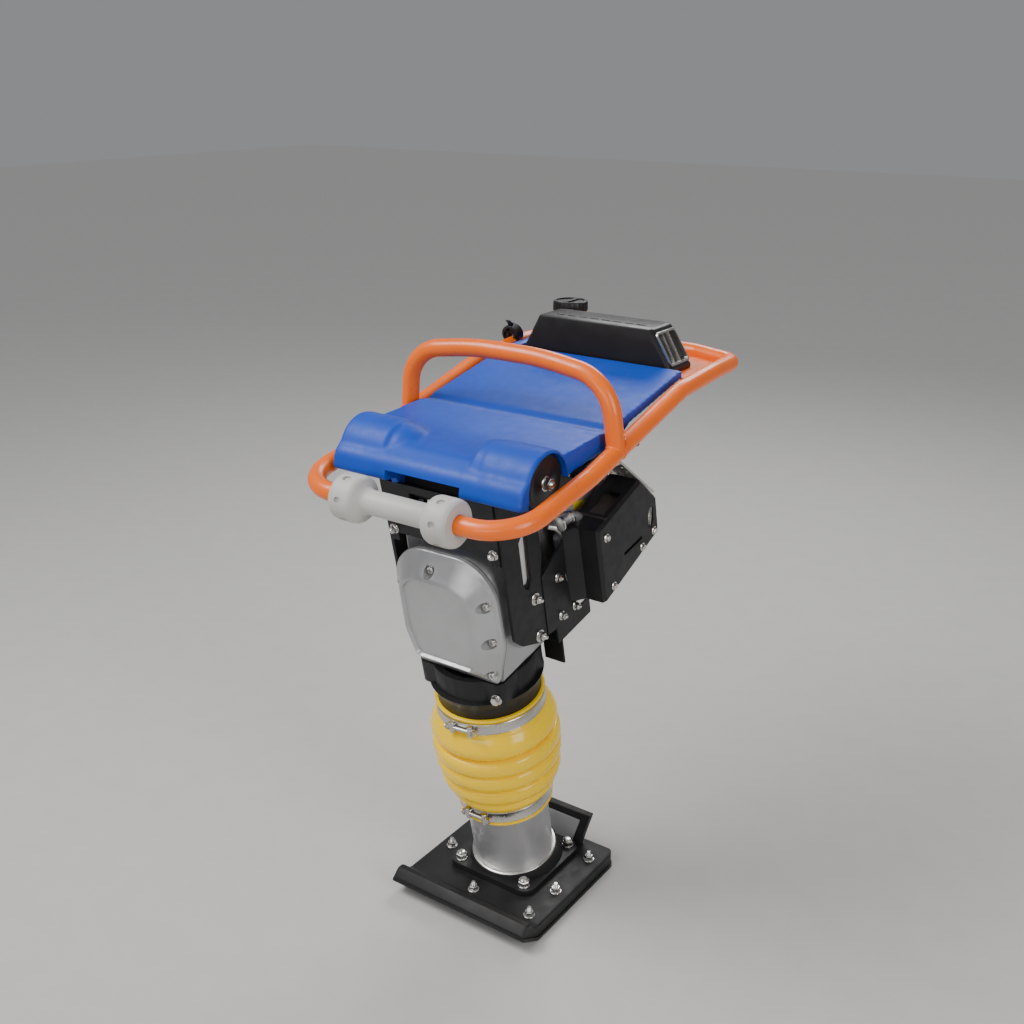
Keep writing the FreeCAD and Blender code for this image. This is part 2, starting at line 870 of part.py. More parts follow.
def pinion_shaft():
    teeth = int(number("pinion_teeth"))
    wheel = toothed_wheel(teeth, 22, 20, number(PINION_HEIGHT))
    parts = (
        wheel,
        rod("pinionshaft_rad", "66", ("0", "14", PINION_HEIGHT), "y"),
    )
    return leg_node("pinion_shaft", fuse(*parts))


def clutch_drum():
    cup = cut(
        rod("54", "30", ("0", "78", PINION_HEIGHT), "y"),
        rod("49", "40", ("0", "83", PINION_HEIGHT), "y"),
        rod("pinionshaft_rad + 0.02", "20", ("0", "70", PINION_HEIGHT), "y"),
    )
    return leg_node("clutch_drum", cup)


def bearing(inner, outer, front, thick, height):
    solid = rod(outer, thick, ("0", front, height), "y")
    hole = rod(inner, f"{thick} + 4", ("0", f"{front} - 2", height), "y")
    return cut(solid, hole)


def bearings():
    front = "case_rear - 12"
    crank = bearing("gearshaft_rad + running_gap", "gearshaft_rad + 14", front, "12", "gear_height")
    pinion = bearing("pinionshaft_rad + running_gap", "pinionshaft_rad + 10", front, "12", PINION_HEIGHT)
    return leg_node("bearings", several(crank, pinion))


def con_rod():
    top = "gear_height - crank_throw"
    low = "gear_height - crank_throw - conrod_reach"
    parts = (
        rod("20", "18", ("0", "-9", top), "y"),
        rod("13", "18", ("0", "-9", low), "y"),
        box(("15", "14", "conrod_reach"), ("0", "0", f"{top} - conrod_reach / 2")),
    )
    bore = rod("crankpin_rad + running_gap", "30", ("0", "-15", top), "y")
    return leg_node("con_rod", cut(fuse(*parts), bore))


def piston_rod():
    wrist = "gear_height - crank_throw - conrod_reach"
    floor = f"{wrist} - 15 - 2 * crank_throw"
    ears = [box(("28", "6", f"28 + 2 * crank_throw"), ("0", f"{side} * 13.5", f"{wrist} - 1 - crank_throw"))
            for side in (-1, 1)]
    parts = (
        rod("rod_rad", f"{floor} - 4 - piston_high", ("0", "0", "piston_high")),
        rod("20", "8", ("0", "0", f"{floor} - 8")),
        *ears,
    )
    return leg_node("piston_rod", fuse(*parts))


def spring_piston():
    piston = rod("cylinder_bore - running_gap", "piston_high - piston_low", ("0", "0", "piston_low"))
    return leg_node("spring_piston", piston)


# ---------------------------------------------------------------- engine

def clutch_housing():
    length = "engine_front - case_rear"
    bell = cut(
        fuse(
            rod("68", length, ("0", "case_rear", PINION_HEIGHT), "y"),
            box(("150", "8", "150"), ("0", "engine_front - 4", PINION_HEIGHT)),
        ),
        rod("60", "80", ("0", "case_rear + 6", PINION_HEIGHT), "y"),
        rod("pinionshaft_rad + 10", "80", ("0", "case_rear - 10", PINION_HEIGHT), "y"),
    )
    return leg_node("clutch_housing", bell)


def engine_block():
    depth = "engine_rear - engine_front"
    middle = "(engine_front + engine_rear) / 2"
    height = "engine_high - engine_low"
    waist = "(engine_high + engine_low) / 2"
    solid = box(("2 * engine_half", depth, height), ("0", middle, waist))
    sump_corners = [box(("30", "200", "60"), (f"{side} * engine_half", middle, "engine_low")) for side in (-1, 1)]
    inside = box(("2 * engine_half - 16", f"{depth} - 16", f"{height} - 60"), ("0", middle, f"{waist} + 22"))
    shaft = rod("10.1", "200", ("0", "engine_front - 20", PINION_HEIGHT), "y")
    clutch_room = rod("60", "9", ("0", "engine_front - 1", PINION_HEIGHT), "y")
    return leg_node("engine_block", cut(solid, *sump_corners, inside, shaft, clutch_room))


def engine_cylinder():
    """The finned barrel and head, lying out to the right of the block, with the rocker cover."""
    barrel = rod("34", "44", ("engine_half", "172", "612"), "x")
    fins = [box(("2.4", "84", "84"), (f"engine_half + {6 + 6 * i}", "172", "612")) for i in range(6)]
    head = box(("14", "80", "80"), ("engine_half + 44", "172", "612"))
    return leg_node("engine_cylinder", fuse(barrel, *fins, head))


def engine_rotor():
    """Crankshaft with the centrifugal clutch shoes in front and the fan flywheel behind."""
    parts = [
        rod("10", "150", ("0", "94", PINION_HEIGHT), "y"),
        rod("46", "18", ("0", "86", PINION_HEIGHT), "y"),
        rod("72", "10", ("0", "engine_rear + 6", PINION_HEIGHT), "y"),
    ]
    blade_count = 12
    blade = Part.makeBox(22, 14, 2, Vector(48, number("engine_rear") + 15.5, -1))
    for i in range(blade_count):
        turned_blade = blade.copy()
        turned_blade.rotate(Vector(), Vector(0, 1, 0), 360 * i / blade_count)
        turned_blade.translate(Vector(0, 0, number(PINION_HEIGHT)))
        parts.append(shape_item(turned_blade))
    return leg_node("engine_rotor", fuse(*parts))


def fan_shroud():
    outer = rod("84", "40", ("0", "engine_rear", PINION_HEIGHT), "y")
    inner = rod("79", "40", ("0", "engine_rear + 4", PINION_HEIGHT), "y")
    shaft = rod("14", "20", ("0", "engine_rear - 5", PINION_HEIGHT), "y")
    return leg_node("fan_shroud", cut(outer, inner, shaft))


def recoil_cover():
    low = "engine_rear + 40.3"
    dome = fuse(
        rod("84", "6", ("0", low, PINION_HEIGHT), "y"),
        taper("70", "56", "20", ("0", f"{low} + 6", PINION_HEIGHT), "y"),
        box(("24", "16", "24"), ("70", f"{low} + 9", f"{PINION_HEIGHT} + 34")),
    )
    inside = taper("64", "50", "22", ("0", f"{low} - 1", PINION_HEIGHT), "y")
    vents = []
    vent_count = 10
    for i in range(vent_count):
        angle = 2 * math.pi * i / vent_count
        x = round(34 * math.sin(angle), 2)
        z = round(34 * math.cos(angle), 2)
        vents.append(rod("6", "40", (f"{x}", low, f"{PINION_HEIGHT} + {z}"), "y"))
    eye = rod("4", "40", ("72", low, f"{PINION_HEIGHT} + 34"), "y")
    key_pocket = box(("11", "8", "15"), ("-74", f"{low} + 6.3", f"{PINION_HEIGHT} - 24"))
    return leg_node("recoil_cover", cut(dome, inside, eye, key_pocket, *vents))


def starter_grip():
    low = "engine_rear + 40.3 + 17.4"
    height = f"{PINION_HEIGHT} + 34"
    grip = fuse(
        rod("6", "14", ("72", low, height), "y"),
        box(("18", "16", "52"), ("72", f"{low} + 18", height)),
    )
    return leg_node("starter_grip", grip)


def stop_switch():
    low = "engine_rear + 40.3 + 6.3"
    key = box(("10", "9", "14"), ("-74", f"{low} + 4.5", f"{PINION_HEIGHT} - 24"))
    return leg_node("stop_switch", key)


def side_shroud():
    """The dished metal cover over the right of the block, above the cylinder."""
    outline = [
        ("116.2", "692"),
        ("126", "673"),
        ("167", "661"),
        ("250", "653"),
        ("269", "674"),
        ("269", "770"),
        ("116.2", "770"),
    ]
    skin = plate("YZ", outline, "28", "89", [("12", (3, 4)), ("14", (5, 6))])
    inner = [
        ("128", "698"),
        ("136", "684"),
        ("168", "673"),
        ("244", "665"),
        ("257", "679"),
        ("257", "757"),
        ("128", "757"),
    ]
    dish = plate("YZ", inner, "14", "103", [("8", (3, 4))])
    fan_room = rod("84.3", "70", ("0", "engine_rear - 2", PINION_HEIGHT), "y")
    return leg_node("side_shroud", cut(skin, dish, fan_room))


def carburettor():
    parts = (
        box(("46", "48", "52"), ("-engine_half - 23.3", "170", "655")),
        rod("18", "30", ("-engine_half - 23.3", "170", "602")),
        rod("24", "26", ("-engine_half - 72.3", "170", "655"), "x"),
    )
    return leg_node("carburettor", fuse(*parts))


def choke_lever():
    start = "170 - 24 - 5.3"
    lever = fuse(
        rod("7", "5", ("-engine_half - 24", start, "664"), "y"),
        box(("7", "4", "34"), ("-engine_half - 24", f"{start} + 2", "681")),
    )
    return leg_node("choke_lever", lever)


SHELL_CORNERS = (
    ("122", "548"),
    ("118", "690"),
    ("262", "714"),
    ("312", "655"),
    ("312", "586"),
)


def muffler():
    body = box(("34", "120", "56"), ("engine_half + 74", "212", "625"))
    outlet = rod("9", "26", ("engine_half + 74", "270", "640"), "y")
    return leg_node("muffler", fuse(body, outlet))


def inset_shell(amount):
    """The guard's outline drawn in by an amount towards its own middle."""
    middle = (sum(number(a) for a, b in SHELL_CORNERS) / 5, sum(number(b) for a, b in SHELL_CORNERS) / 5)
    drawn = []
    for a, b in SHELL_CORNERS:
        reach = math.dist((number(a), number(b)), middle)
        share = 1 - amount / reach
        drawn.append((f"{middle[0]:.3f} + (({a}) - {middle[0]:.3f}) * {share:.5f}",
                      f"{middle[1]:.3f} + (({b}) - {middle[1]:.3f}) * {share:.5f}"))
    return drawn


def loft(bottom, top, plane, low, high):
    """A body that runs straight from one outline to another."""
    body = new_body()
    first = sketch_on(body, plane, low)
    draw_outline(first, bottom)
    second = sketch_on(body, plane, high)
    draw_outline(second, top)
    made = body.newObject("PartDesign::AdditiveLoft", "Loft")
    made.Profile = first
    made.Sections = [second]
    made.Ruled = True
    doc.recompute()
    return body


def muffler_guard():
    """A pressed shell over the muffler, open towards the engine, its front face slanted."""
    rear_three = list(SHELL_CORNERS[2:])
    slanted = loft(
        [("104", "545"), ("102", "686"), *rear_three],
        SHELL_CORNERS, "YZ", "shell_inner + 0.02", "shell_inner + 23",
    )
    body = fuse(
        slanted,
        plate("YZ", SHELL_CORNERS, "32", "shell_inner + 39"),
        loft(SHELL_CORNERS, inset_shell(6), "YZ", "shell_inner + 55", "shell_outer"),
    )
    hollow = fuse(
        plate("YZ", inset_shell(5), "60", "shell_inner + 25"),
        loft(inset_shell(5), inset_shell(10), "YZ", "shell_inner + 54.8", "shell_outer - shell_wall"),
    )
    oval = fuse(
        rod("9", "30", ("shell_outer - 15", "288", "638"), "x"),
        rod("9", "30", ("shell_outer - 15", "284", "618"), "x"),
        box(("30", "17", "22"), ("shell_outer", "286", "628")),
    )
    slit = box(("30", "60", "6"), ("shell_outer", "222", "606"))
    top_slot = box(("30", "60", "40"), ("shell_inner + 32", "190", "700"))
    return leg_node("muffler_guard", cut(body, hollow, oval, slit, top_slot))


def guard_screws():
    start = "shell_outer + 0.02"
    places = [("292", "598"), ("250", "588"), ("150", "568"), ("140", "668")]
    return [fuse(rod("8", "3", (start, y, z), "x"), hexagon("10", "6", (f"{start} + 3", y, z), "x"))
            for y, z in places]


def spark_screen():
    """The bent sheet of perforated steel over the exhaust, behind and above the guard."""
    sheet_of_holes = plate("YZ", [
        ("207", "765"),
        ("222", "762"),
        ("321", "655"),
        ("324", "657"),
        ("224.5", "765"),
        ("207.5", "768.5"),
    ], "58", "137")
    holes = []
    for column in range(4):
        for line_index in range(4):
            holes.append(rod("3", "120", (f"{116 + 14 * column}", f"{238 + 15 * line_index}", "650")))
    return leg_node("spark_screen", cut(sheet_of_holes, *holes))


def engine_side_plates():
    outline = [
        ("34.5", "522"),
        ("110", "514"),
        ("127.5", "530"),
        ("127.5", "668"),
        ("104", "668"),
        ("34.5", "638"),
    ]
    window = [("100", "602"), ("124", "634"), ("124", "604"), ("112", "560")]
    solid = plate("YZ", outline, "4", "shell_inner - 2.2")
    opening = plate("YZ", window, "12", "shell_inner - 2.2")
    side = cut(solid, opening)
    return leg_node("engine_side_plates", several(side, mirrored(side)))


def side_plate_bolts():
    start = "shell_inner + 0.02"
    places = [("77", "612"), ("76", "536"), ("118", "530")]
    return [bolt_along_x(side, y, z, start, 12, 8) for side in (-1, 1) for y, z in places]


def frame_bolts():
    """Every bolt, screw and plug that stays on the upper unit's outside."""
    heads = arm_bolts() + guard_screws() + side_plate_bolts()
    return leg_node("frame_bolts", several(drain_plug(), *heads))


def base_bracket():
    """The skid below the engine: a channel with a turned-down foot at its front."""
    floor = box(("222", "104", "4"), ("0", "120", "482"))
    walls = [box(("4", "104", "30"), (f"{side} * 109", "120", "497")) for side in (-1, 1)]
    feet = [box(("40", "4", "52"), (f"{side} * 91", "79", "458")) for side in (-1, 1)]
    return leg_node("base_bracket", fuse(floor, *walls, *feet))


# ---------------------------------------------------------------- handle

def row_isolator():
    """The isolators' axis in the row frame, as y and z."""
    angle = math.radians(number("leg_lean"))
    y = number("isolator_y") * math.cos(angle) - number("isolator_z") * math.sin(angle)
    z = number("isolator_y") * math.sin(angle) + number("isolator_z") * math.cos(angle)
    return y, z + number("foot_joint_height")


def rubber_isolators():
    """Two rubber blocks between the arms and the handle's brackets."""
    start = "arm_inner + arm_thick + 0.02"
    place = ("isolator_y", "isolator_z")
    length = "bracket_inner - 0.3 - arm_inner - arm_thick"
    rubber = fuse(
        rod("isolator_rad", length, (start, *place), "x"),
        rod("44", "7", ("bracket_inner - 7.3", *place), "x"),
    )
    return leg_node("rubber_isolators", several(rubber, mirrored(rubber)))


def isolator_bolts():
    start = "bracket_inner + bracket_thick + 0.02"
    place = ("isolator_y", "isolator_z")
    cap = fuse(
        rod("45", "5", (start, *place), "x"),
        rod("12", "9", (start, *place), "x"),
        hexagon("19", "18", (start, *place), "x"),
    )
    return leg_node("isolator_bolts", several(cap, mirrored(cap)))


def handle_brackets():
    """The plates that carry the handle's rails on the isolators."""
    y, z = row_isolator()
    outline = [
        (f"{y - 34:.2f}", f"{z - 12:.2f}"),
        (f"{y - 12:.2f}", f"{z - 34:.2f}"),
        ("-70", "838"),
        ("70", "872"),
        ("70", "892"),
        ("-90", "857"),
        (f"{y + 34:.2f}", f"{z + 3:.2f}"),
        (f"{y + 12:.2f}", f"{z + 34:.2f}"),
        (f"{y - 14:.2f}", f"{z + 34:.2f}"),
        (f"{y - 34:.2f}", f"{z + 12:.2f}"),
    ]
    web = plate("YZ", outline, "bracket_thick", "bracket_inner + bracket_thick / 2")
    tabs = [
        box(("35", "34", "10"), ("bracket_inner + bracket_thick + 15", y_tab, z_tab))
        for y_tab, z_tab in (("-76", "862"), ("44", "881"))
    ]
    riser = box(("16", "34", "20"), ("194", "44", "886"))
    side = fuse(web, *tabs, riser)
    return node("handle_brackets", several(side, mirrored(side)))


def rail_point(y):
    return Vector(number("handle_half"), y, number("rail_height") + (y + 20) * number("rail_slope"))


def handle_tubes():
    """The loop is two bent tubes, welded end to end just behind the hoop's feet."""
    half = number("handle_half")
    weld = rail_point(-number("weld_back"))
    corner = Vector(half, -number("handle_front"), number("front_height"))
    front_side = [weld, rail_point(-102), Vector(half, -190, 853), corner]
    bends = [200, 300, 74]
    front = rounded_path(both_sides(front_side), bends + bends[::-1])
    rear_side = [weld, rail_point(186), Vector(half, 312, 950), Vector(half - 3, 392, 950), Vector(118, 418, 952)]
    bends = [120, 300, 26, 60]
    rear = rounded_path(both_sides(rear_side), bends + bends[::-1])
    node("front_handle_tube", shape_item(steel_tube(front)))
    node("rear_handle_tube", shape_item(steel_tube(rear)))
    return front, rear


def hoop(rails):
    """The lifting hoop over the tank, its feet shaped to the rails."""
    top = number("hoop_top")
    foot = rail_point(-24) - Vector(0, 0, 4)
    side = [foot, Vector(194, -29, top - 17), Vector(64, -22, top)]
    bends = [74, 600]
    solid = steel_tube(rounded_path(both_sides(side), bends + bends[::-1]))
    for rail in rails:
        solid = solid.cut(tube_along(rail, number("tube_rad")))
    return node("hoop", shape_item(max(solid.Solids, key=lambda s: s.Volume)))


def roller():
    """The guide roller that turns freely on the front tube."""
    bore = "tube_rad + running_gap"
    half = [
        ("waist_rad", "0"),
        ("waist_rad", "drum_in - 6"),
        ("drum_rad - 7", "drum_in"),
        ("drum_rad", "drum_in + 8"),
        ("drum_rad", "drum_out - 6"),
        ("drum_rad - 6", "drum_out"),
        (bore, "drum_out"),
    ]
    other = [(r, f"-({x})") for r, x in reversed(half[1:])]
    spool = turned(half + other, "X")
    return node("roller", move_to(spool, ("0", "-handle_front", "front_height")))


def rear_shelf():
    """The sheet steel shelf that carries the air cleaner between the rails."""
    plan = [("-192", "240.5"), ("192", "240.5"), ("192", "382"), ("118", "404"), ("-118", "404"), ("-192", "382")]
    return node("rear_shelf", plate("XY", plan, "4", "946"))


def tank_rails():
    """Slotted strips along the inside of each rail, under the tank's edges."""
    slope = math.degrees(math.atan(number("rail_slope")))
    strip = plate("XY", [("177", "0"), ("199", "0"), ("199", "245"), ("177", "245")], "3", "0")
    slots = [box(("9", "62", "12"), ("186", f"{y}", "0")) for y in (48, 122, 196)]
    sides = []
    for flip in (False, True):
        side = cut(strip, *slots) if not flip else mirrored(sides[0])
        sides.append(side)
    pair = several(*sides)
    pair.Placement = FreeCAD.Placement(Vector(0, -12, 875), FreeCAD.Rotation(Vector(1, 0, 0), slope))
    return node("tank_rails", pair)


# ---------------------------------------------------------------- tank and air cleaner

def tank_profile():
    """The tank's section along the machine, closed below by its flat belly."""
    return [
        ("-252", "846"),
        ("-241", "876"),
        ("-214", "896"),
        ("-178", "905"),
        ("-crease_back", "crease_height"),
        ("239.5", "crease_height + 51"),
        ("239.5", "crease_height + 35"),
        ("60", "crease_height - 3"),
        ("20", "crease_height - 27"),
        ("-110", "crease_height - 40"),
        ("-224", "846"),
    ]


CAP_X = "-121"
CAP_Y = "356"


def fuel_tank():
    y, z = row_isolator()
    slab = plate("YZ", tank_profile(), "2 * tank_half")
    bulge_length = "92"
    bulges = []
    rooms = []
    for side in (1, -1):
        start = f"{side} * tank_half + ({-92 if side > 0 else 0})"
        bulges.append(rod("bulge_rad", bulge_length, (start, f"{y - 6:.2f}", f"{z - 3:.2f}"), "x"))
        room_start = f"{side} * tank_half + ({-84 if side > 0 else -12})"
        rooms.append(rod("bulge_rad - 6", "96", (room_start, f"{y - 6:.2f}", f"{z - 3:.2f}"), "x"))
        below = (f"{side} * (tank_half - 44)", f"{y + 20:.2f}", "806")
        rooms.append(box(("112", "2 * bulge_rad + 60", "80"), below))
    belly_gap = box(("90", "160", "60"), ("tank_half - 40", "-70", "847"))
    other_gap = box(("90", "160", "60"), ("-tank_half + 40", "-70", "847"))
    wing = box(("24", "140", "14"), ("-tank_half + 12", "300", "957"))
    hump = loft(
        [("-tank_half", "328"), ("-58", "328"), ("-58", "388"), ("-150", "388"), ("-tank_half", "370")],
        [("-tank_half + 22", "330"), ("-66", "330"), ("-66", "386"), ("-140", "386"), ("-tank_half + 22", "372")],
        "XY", "950", "1004",
    )
    neck = rod("24", "14", (CAP_X, CAP_Y, "998"))
    return node("fuel_tank", cut(fuse(slab, *bulges, wing, hump, neck), *rooms, belly_gap, other_gap))


def fuel_cap():
    cap = fuse(
        rod("cap_rad", "20", (CAP_X, CAP_Y, "1012.4")),
        box(("4", "2 * cap_rad + 3", "18"), (CAP_X, CAP_Y, "1022.4")),
    )
    return node("fuel_cap", cap)


def air_cleaner():
    lower = [("-158", "245"), ("158", "245"), ("158", "324"), ("-158", "324")]
    upper = [("-118", "240"), ("118", "240"), ("118", "318"), ("-118", "318")]
    case = loft(lower, upper, "XY", "box_low", "box_high")
    shelf_step = box(("300", "70", "9"), ("0", "286", "box_low - 4.45"))
    return node("air_cleaner", fuse(case, shelf_step))


def throttle_clamp():
    """The clamp on the left rail that carries the throttle lever's pivot."""
    y = 288
    z = 947
    block = cut(
        box(("32", "22", "52"), ("-handle_half", f"{y}", f"{z + 8:.2f}")),
        box(("12.6", "60", "24"), ("-handle_half", f"{y}", f"{z + 30:.2f}")),
    )
    rail = rod("tube_rad + 0.05", "80", ("-handle_half", f"{y - 40}", f"{z:.2f}"), "y")
    return node("throttle_clamp", cut(block, rail))


def throttle_lever():
    y = 288
    z = 947 + 26
    lever = fuse(
        rod("6", "10", ("-handle_half - 5", f"{y}", f"{z:.2f}"), "x"),
        plate("YZ", [
            (f"{y + 6}", f"{z:.2f}"),
            (f"{y - 10}", f"{z + 26:.2f}"),
            (f"{y - 18}", f"{z + 26:.2f}"),
            (f"{y - 6}", f"{z:.2f}"),
        ], "6", "-handle_half"),
    )
    return node("throttle_lever", lever)


# ---------------------------------------------------------------- assembly

sole_plate()
shoe_block()
heel_plate()
shoe_bolts()
foot_flange()
flange_bolts()
spring_cylinder()
cylinder_cap()
springs()
bellows()
clamp("lower_clamp", "collar_rad + 3.02", "156", "180", -5)
clamp("upper_clamp", "guide_rad + 4.02", "369", "391", 0)
guide_cylinder()
guide_bush()
crankcase()
crankcase_gasket()
crankcase_cover()
cover_screws()
arms()
cross_plate()
crank_gear()
pinion_shaft()
clutch_drum()
bearings()
con_rod()
piston_rod()
spring_piston()
clutch_housing()
engine_block()
engine_cylinder()
engine_rotor()
fan_shroud()
recoil_cover()
starter_grip()
stop_switch()
side_shroud()
carburettor()
choke_lever()
muffler()
muffler_guard()
spark_screen()
engine_side_plates()
frame_bolts()
base_bracket()
rubber_isolators()
isolator_bolts()
handle_brackets()
hoop(handle_tubes())
roller()
rear_shelf()
tank_rails()
fuel_tank()
fuel_cap()
air_cleaner()
throttle_clamp()
throttle_lever()
doc.recompute()

for item in doc.Objects:
    if "Invalid" in item.State or "Error" in item.State:
        raise RuntimeError(f"{item.Label} failed: {item.State}")
os.makedirs("parts", exist_ok=True)
for item in NODES:
    if item.Shape.isNull() or not item.Shape.isValid():
        raise RuntimeError(f"{item.Label} has no valid shape")
    item.Shape.exportStep(f"parts/{item.Label}.step")
    bounds = item.Shape.BoundBox
    print(f"{item.Label:20s} solids {len(item.Shape.Solids)} volume {item.Shape.Volume / 1000:9.1f} cm3"
          f"  x {bounds.XMin:7.1f} {bounds.XMax:7.1f}  y {bounds.YMin:7.1f} {bounds.YMax:7.1f}"
          f"  z {bounds.ZMin:7.1f} {bounds.ZMax:7.1f}")
print(len(NODES), "nodes")
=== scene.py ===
import math

import bpy
import bmesh
from mathutils import Matrix, Vector


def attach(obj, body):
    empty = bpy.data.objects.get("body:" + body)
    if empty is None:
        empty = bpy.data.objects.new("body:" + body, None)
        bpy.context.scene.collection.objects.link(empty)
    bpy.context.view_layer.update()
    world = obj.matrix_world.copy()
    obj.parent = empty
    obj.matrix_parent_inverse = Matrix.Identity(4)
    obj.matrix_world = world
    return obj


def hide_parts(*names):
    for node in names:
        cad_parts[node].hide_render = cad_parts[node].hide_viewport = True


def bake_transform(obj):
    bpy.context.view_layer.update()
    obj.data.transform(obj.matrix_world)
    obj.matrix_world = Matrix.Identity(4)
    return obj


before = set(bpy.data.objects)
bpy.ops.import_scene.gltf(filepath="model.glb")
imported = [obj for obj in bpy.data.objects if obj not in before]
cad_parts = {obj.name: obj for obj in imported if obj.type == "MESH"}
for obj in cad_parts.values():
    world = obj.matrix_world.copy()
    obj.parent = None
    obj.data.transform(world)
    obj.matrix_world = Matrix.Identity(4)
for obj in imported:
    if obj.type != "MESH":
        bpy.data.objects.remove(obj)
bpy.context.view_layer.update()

# Jumping jack rammer. Metres; the millimetre helper keeps sizes readable.
# Row frame: +Z up, +X to the machine's right, -Y to its front.
# Leg frame: the same axes, lifted to the foot joint and leaned forward about X.

MM = 0.001
LEAN = math.radians(11.5)
FOOT_JOINT = 45
LEG = Matrix.Translation((0, 0, FOOT_JOINT * MM)) @ Matrix.Rotation(LEAN, 4, "X")
ALONG_X = Matrix(((0, 0, 1, 0), (1, 0, 0, 0), (0, 1, 0, 0), (0, 0, 0, 1)))


# ---------------------------------------------------------------- materials

def noise(tree, scale, detail=4.0, stretch=None):
    """A noise in the object's own metres."""
    place = tree.nodes.new("ShaderNodeTexCoord")
    source = place.outputs["Object"]
    if stretch:
        mapping = tree.nodes.new("ShaderNodeMapping")
        mapping.inputs["Scale"].default_value = stretch
        tree.links.new(source, mapping.inputs["Vector"])
        source = mapping.outputs["Vector"]
    item = tree.nodes.new("ShaderNodeTexNoise")
    item.inputs["Scale"].default_value = scale
    item.inputs["Detail"].default_value = detail
    tree.links.new(source, item.inputs["Vector"])
    return item.outputs["Fac"]


def ramp(tree, source, stops):
    item = tree.nodes.new("ShaderNodeValToRGB")
    elements = item.color_ramp.elements
    while len(elements) < len(stops):
        elements.new(0.5)
    for element, (place, colour) in zip(elements, stops):
        element.position = place
        element.color = (*colour, 1.0) if len(colour) == 3 else (colour[0],) * 3 + (1.0,)
    tree.links.new(source, item.inputs["Fac"])
    return item.outputs["Color"]


def shade(colour, amount):
    return tuple(min(1.0, c * amount) for c in colour)


def dusted(tree, colour, amount):
    """Lays dust over a colour in broad patches."""
    patches = noise(tree, 6.5, 9.0)
    dusty = ramp(tree, patches, [(0.5, (0.0,)), (0.78, (amount,))])
    mix = tree.nodes.new("ShaderNodeMix")
    mix.data_type = "RGBA"
    tree.links.new(dusty, mix.inputs["Factor"])
    tree.links.new(colour, mix.inputs["A"])
    mix.inputs["B"].default_value = (0.33, 0.3, 0.27, 1)
    return mix.outputs["Result"]


def finish_of(name, colour, rough, metallic=0.0, grain=900.0, grain_depth=0.02, mottle=0.12,
              dirt=0.0, coat=0.0, stretch=None, spread=0.08, specular=None):
    """A finish with mottled colour, uneven gloss, a fine grain and dust in the broad patches."""
    material = bpy.data.materials.new(name)
    material.use_nodes = True
    tree = material.node_tree
    main = tree.nodes["Principled BSDF"]
    usual = 0.5 if max(colour) > 0.05 or metallic else 0.32
    main.inputs["Specular IOR Level"].default_value = usual if specular is None else specular
    main.inputs["Metallic"].default_value = metallic
    main.inputs["Coat Weight"].default_value = coat
    main.inputs["Coat Roughness"].default_value = 0.12
    broad = noise(tree, 14.0, 6.0)
    mottled = ramp(tree, broad, [(0.3, shade(colour, 1 - mottle)), (0.7, shade(colour, 1 + mottle))])
    if dirt:
        mottled = dusted(tree, mottled, dirt)
    tree.links.new(mottled, main.inputs["Base Color"])
    uneven = noise(tree, 55.0, 5.0)
    gloss = ramp(tree, uneven, [(0.3, (max(rough - spread, 0.03),)), (0.75, (min(rough + spread, 1.0),))])
    tree.links.new(gloss, main.inputs["Roughness"])
    fine = noise(tree, grain, 3.0, stretch)
    bump = tree.nodes.new("ShaderNodeBump")
    bump.inputs["Strength"].default_value = 1.0
    bump.inputs["Distance"].default_value = grain_depth * MM
    tree.links.new(fine, bump.inputs["Height"])
    tree.links.new(bump.outputs["Normal"], main.inputs["Normal"])
    return material


ORANGE = finish_of("orange_powder_coat", (0.93, 0.15, 0.0), 0.34,
                   coat=0.12, grain=420, grain_depth=0.05, mottle=0.05)
BLUE = finish_of("blue_moulded_tank", (0.004, 0.058, 0.44), 0.5,
                 grain=1500, grain_depth=0.06, mottle=0.06, specular=0.35)
YELLOW = finish_of("yellow_bellows_rubber", (1.0, 0.63, 0.0), 0.24,
                   grain=160, grain_depth=0.02, mottle=0.03, coat=0.3, specular=0.3)
BLACK = finish_of("black_powder_coat", (0.012, 0.012, 0.013), 0.44, grain=700, grain_depth=0.05, mottle=0.25)
SHOE = finish_of("black_painted_laminate", (0.01, 0.01, 0.0105), 0.5,
                 grain=320, grain_depth=0.05, mottle=0.3, dirt=0.04)
PLASTIC = finish_of("black_moulded_plastic", (0.012, 0.011, 0.011), 0.36,
                    grain=1300, grain_depth=0.03, mottle=0.15)
GREY = finish_of("grey_moulded_plastic", (0.5, 0.49, 0.46), 0.5, grain=1100, grain_depth=0.05, mottle=0.05)
SILVER = finish_of("silver_metallic_paint", (0.66, 0.65, 0.66), 0.36,
                   metallic=0.5, grain=180, grain_depth=0.01, mottle=0.04)
CAST = finish_of("painted_casting", (0.46, 0.46, 0.465), 0.36,
                 metallic=0.6, grain=520, grain_depth=0.08, mottle=0.06)
ALLOY = finish_of("bare_cast_alloy", (0.52, 0.51, 0.5), 0.38,
                  metallic=0.85, grain=420, grain_depth=0.16, mottle=0.12)
ZINC = finish_of("bright_zinc", (0.68, 0.67, 0.64), 0.22,
                 metallic=1.0, grain=800, grain_depth=0.02, mottle=0.1)
BAND = finish_of("stainless_band", (0.58, 0.57, 0.54), 0.3, metallic=1.0, grain=60, grain_depth=0.02,
                 mottle=0.1, stretch=(1, 1, 40))
GROUND = finish_of("ground_steel", (0.4, 0.4, 0.41), 0.25,
                   metallic=1.0, grain=900, grain_depth=0.02, mottle=0.1)
SPRING = finish_of("oiled_spring_steel", (0.16, 0.16, 0.17), 0.3, metallic=0.9, grain=300, grain_depth=0.03)
NYLON = finish_of("turned_nylon", (0.62, 0.58, 0.46), 0.5, grain=900, grain_depth=0.02)
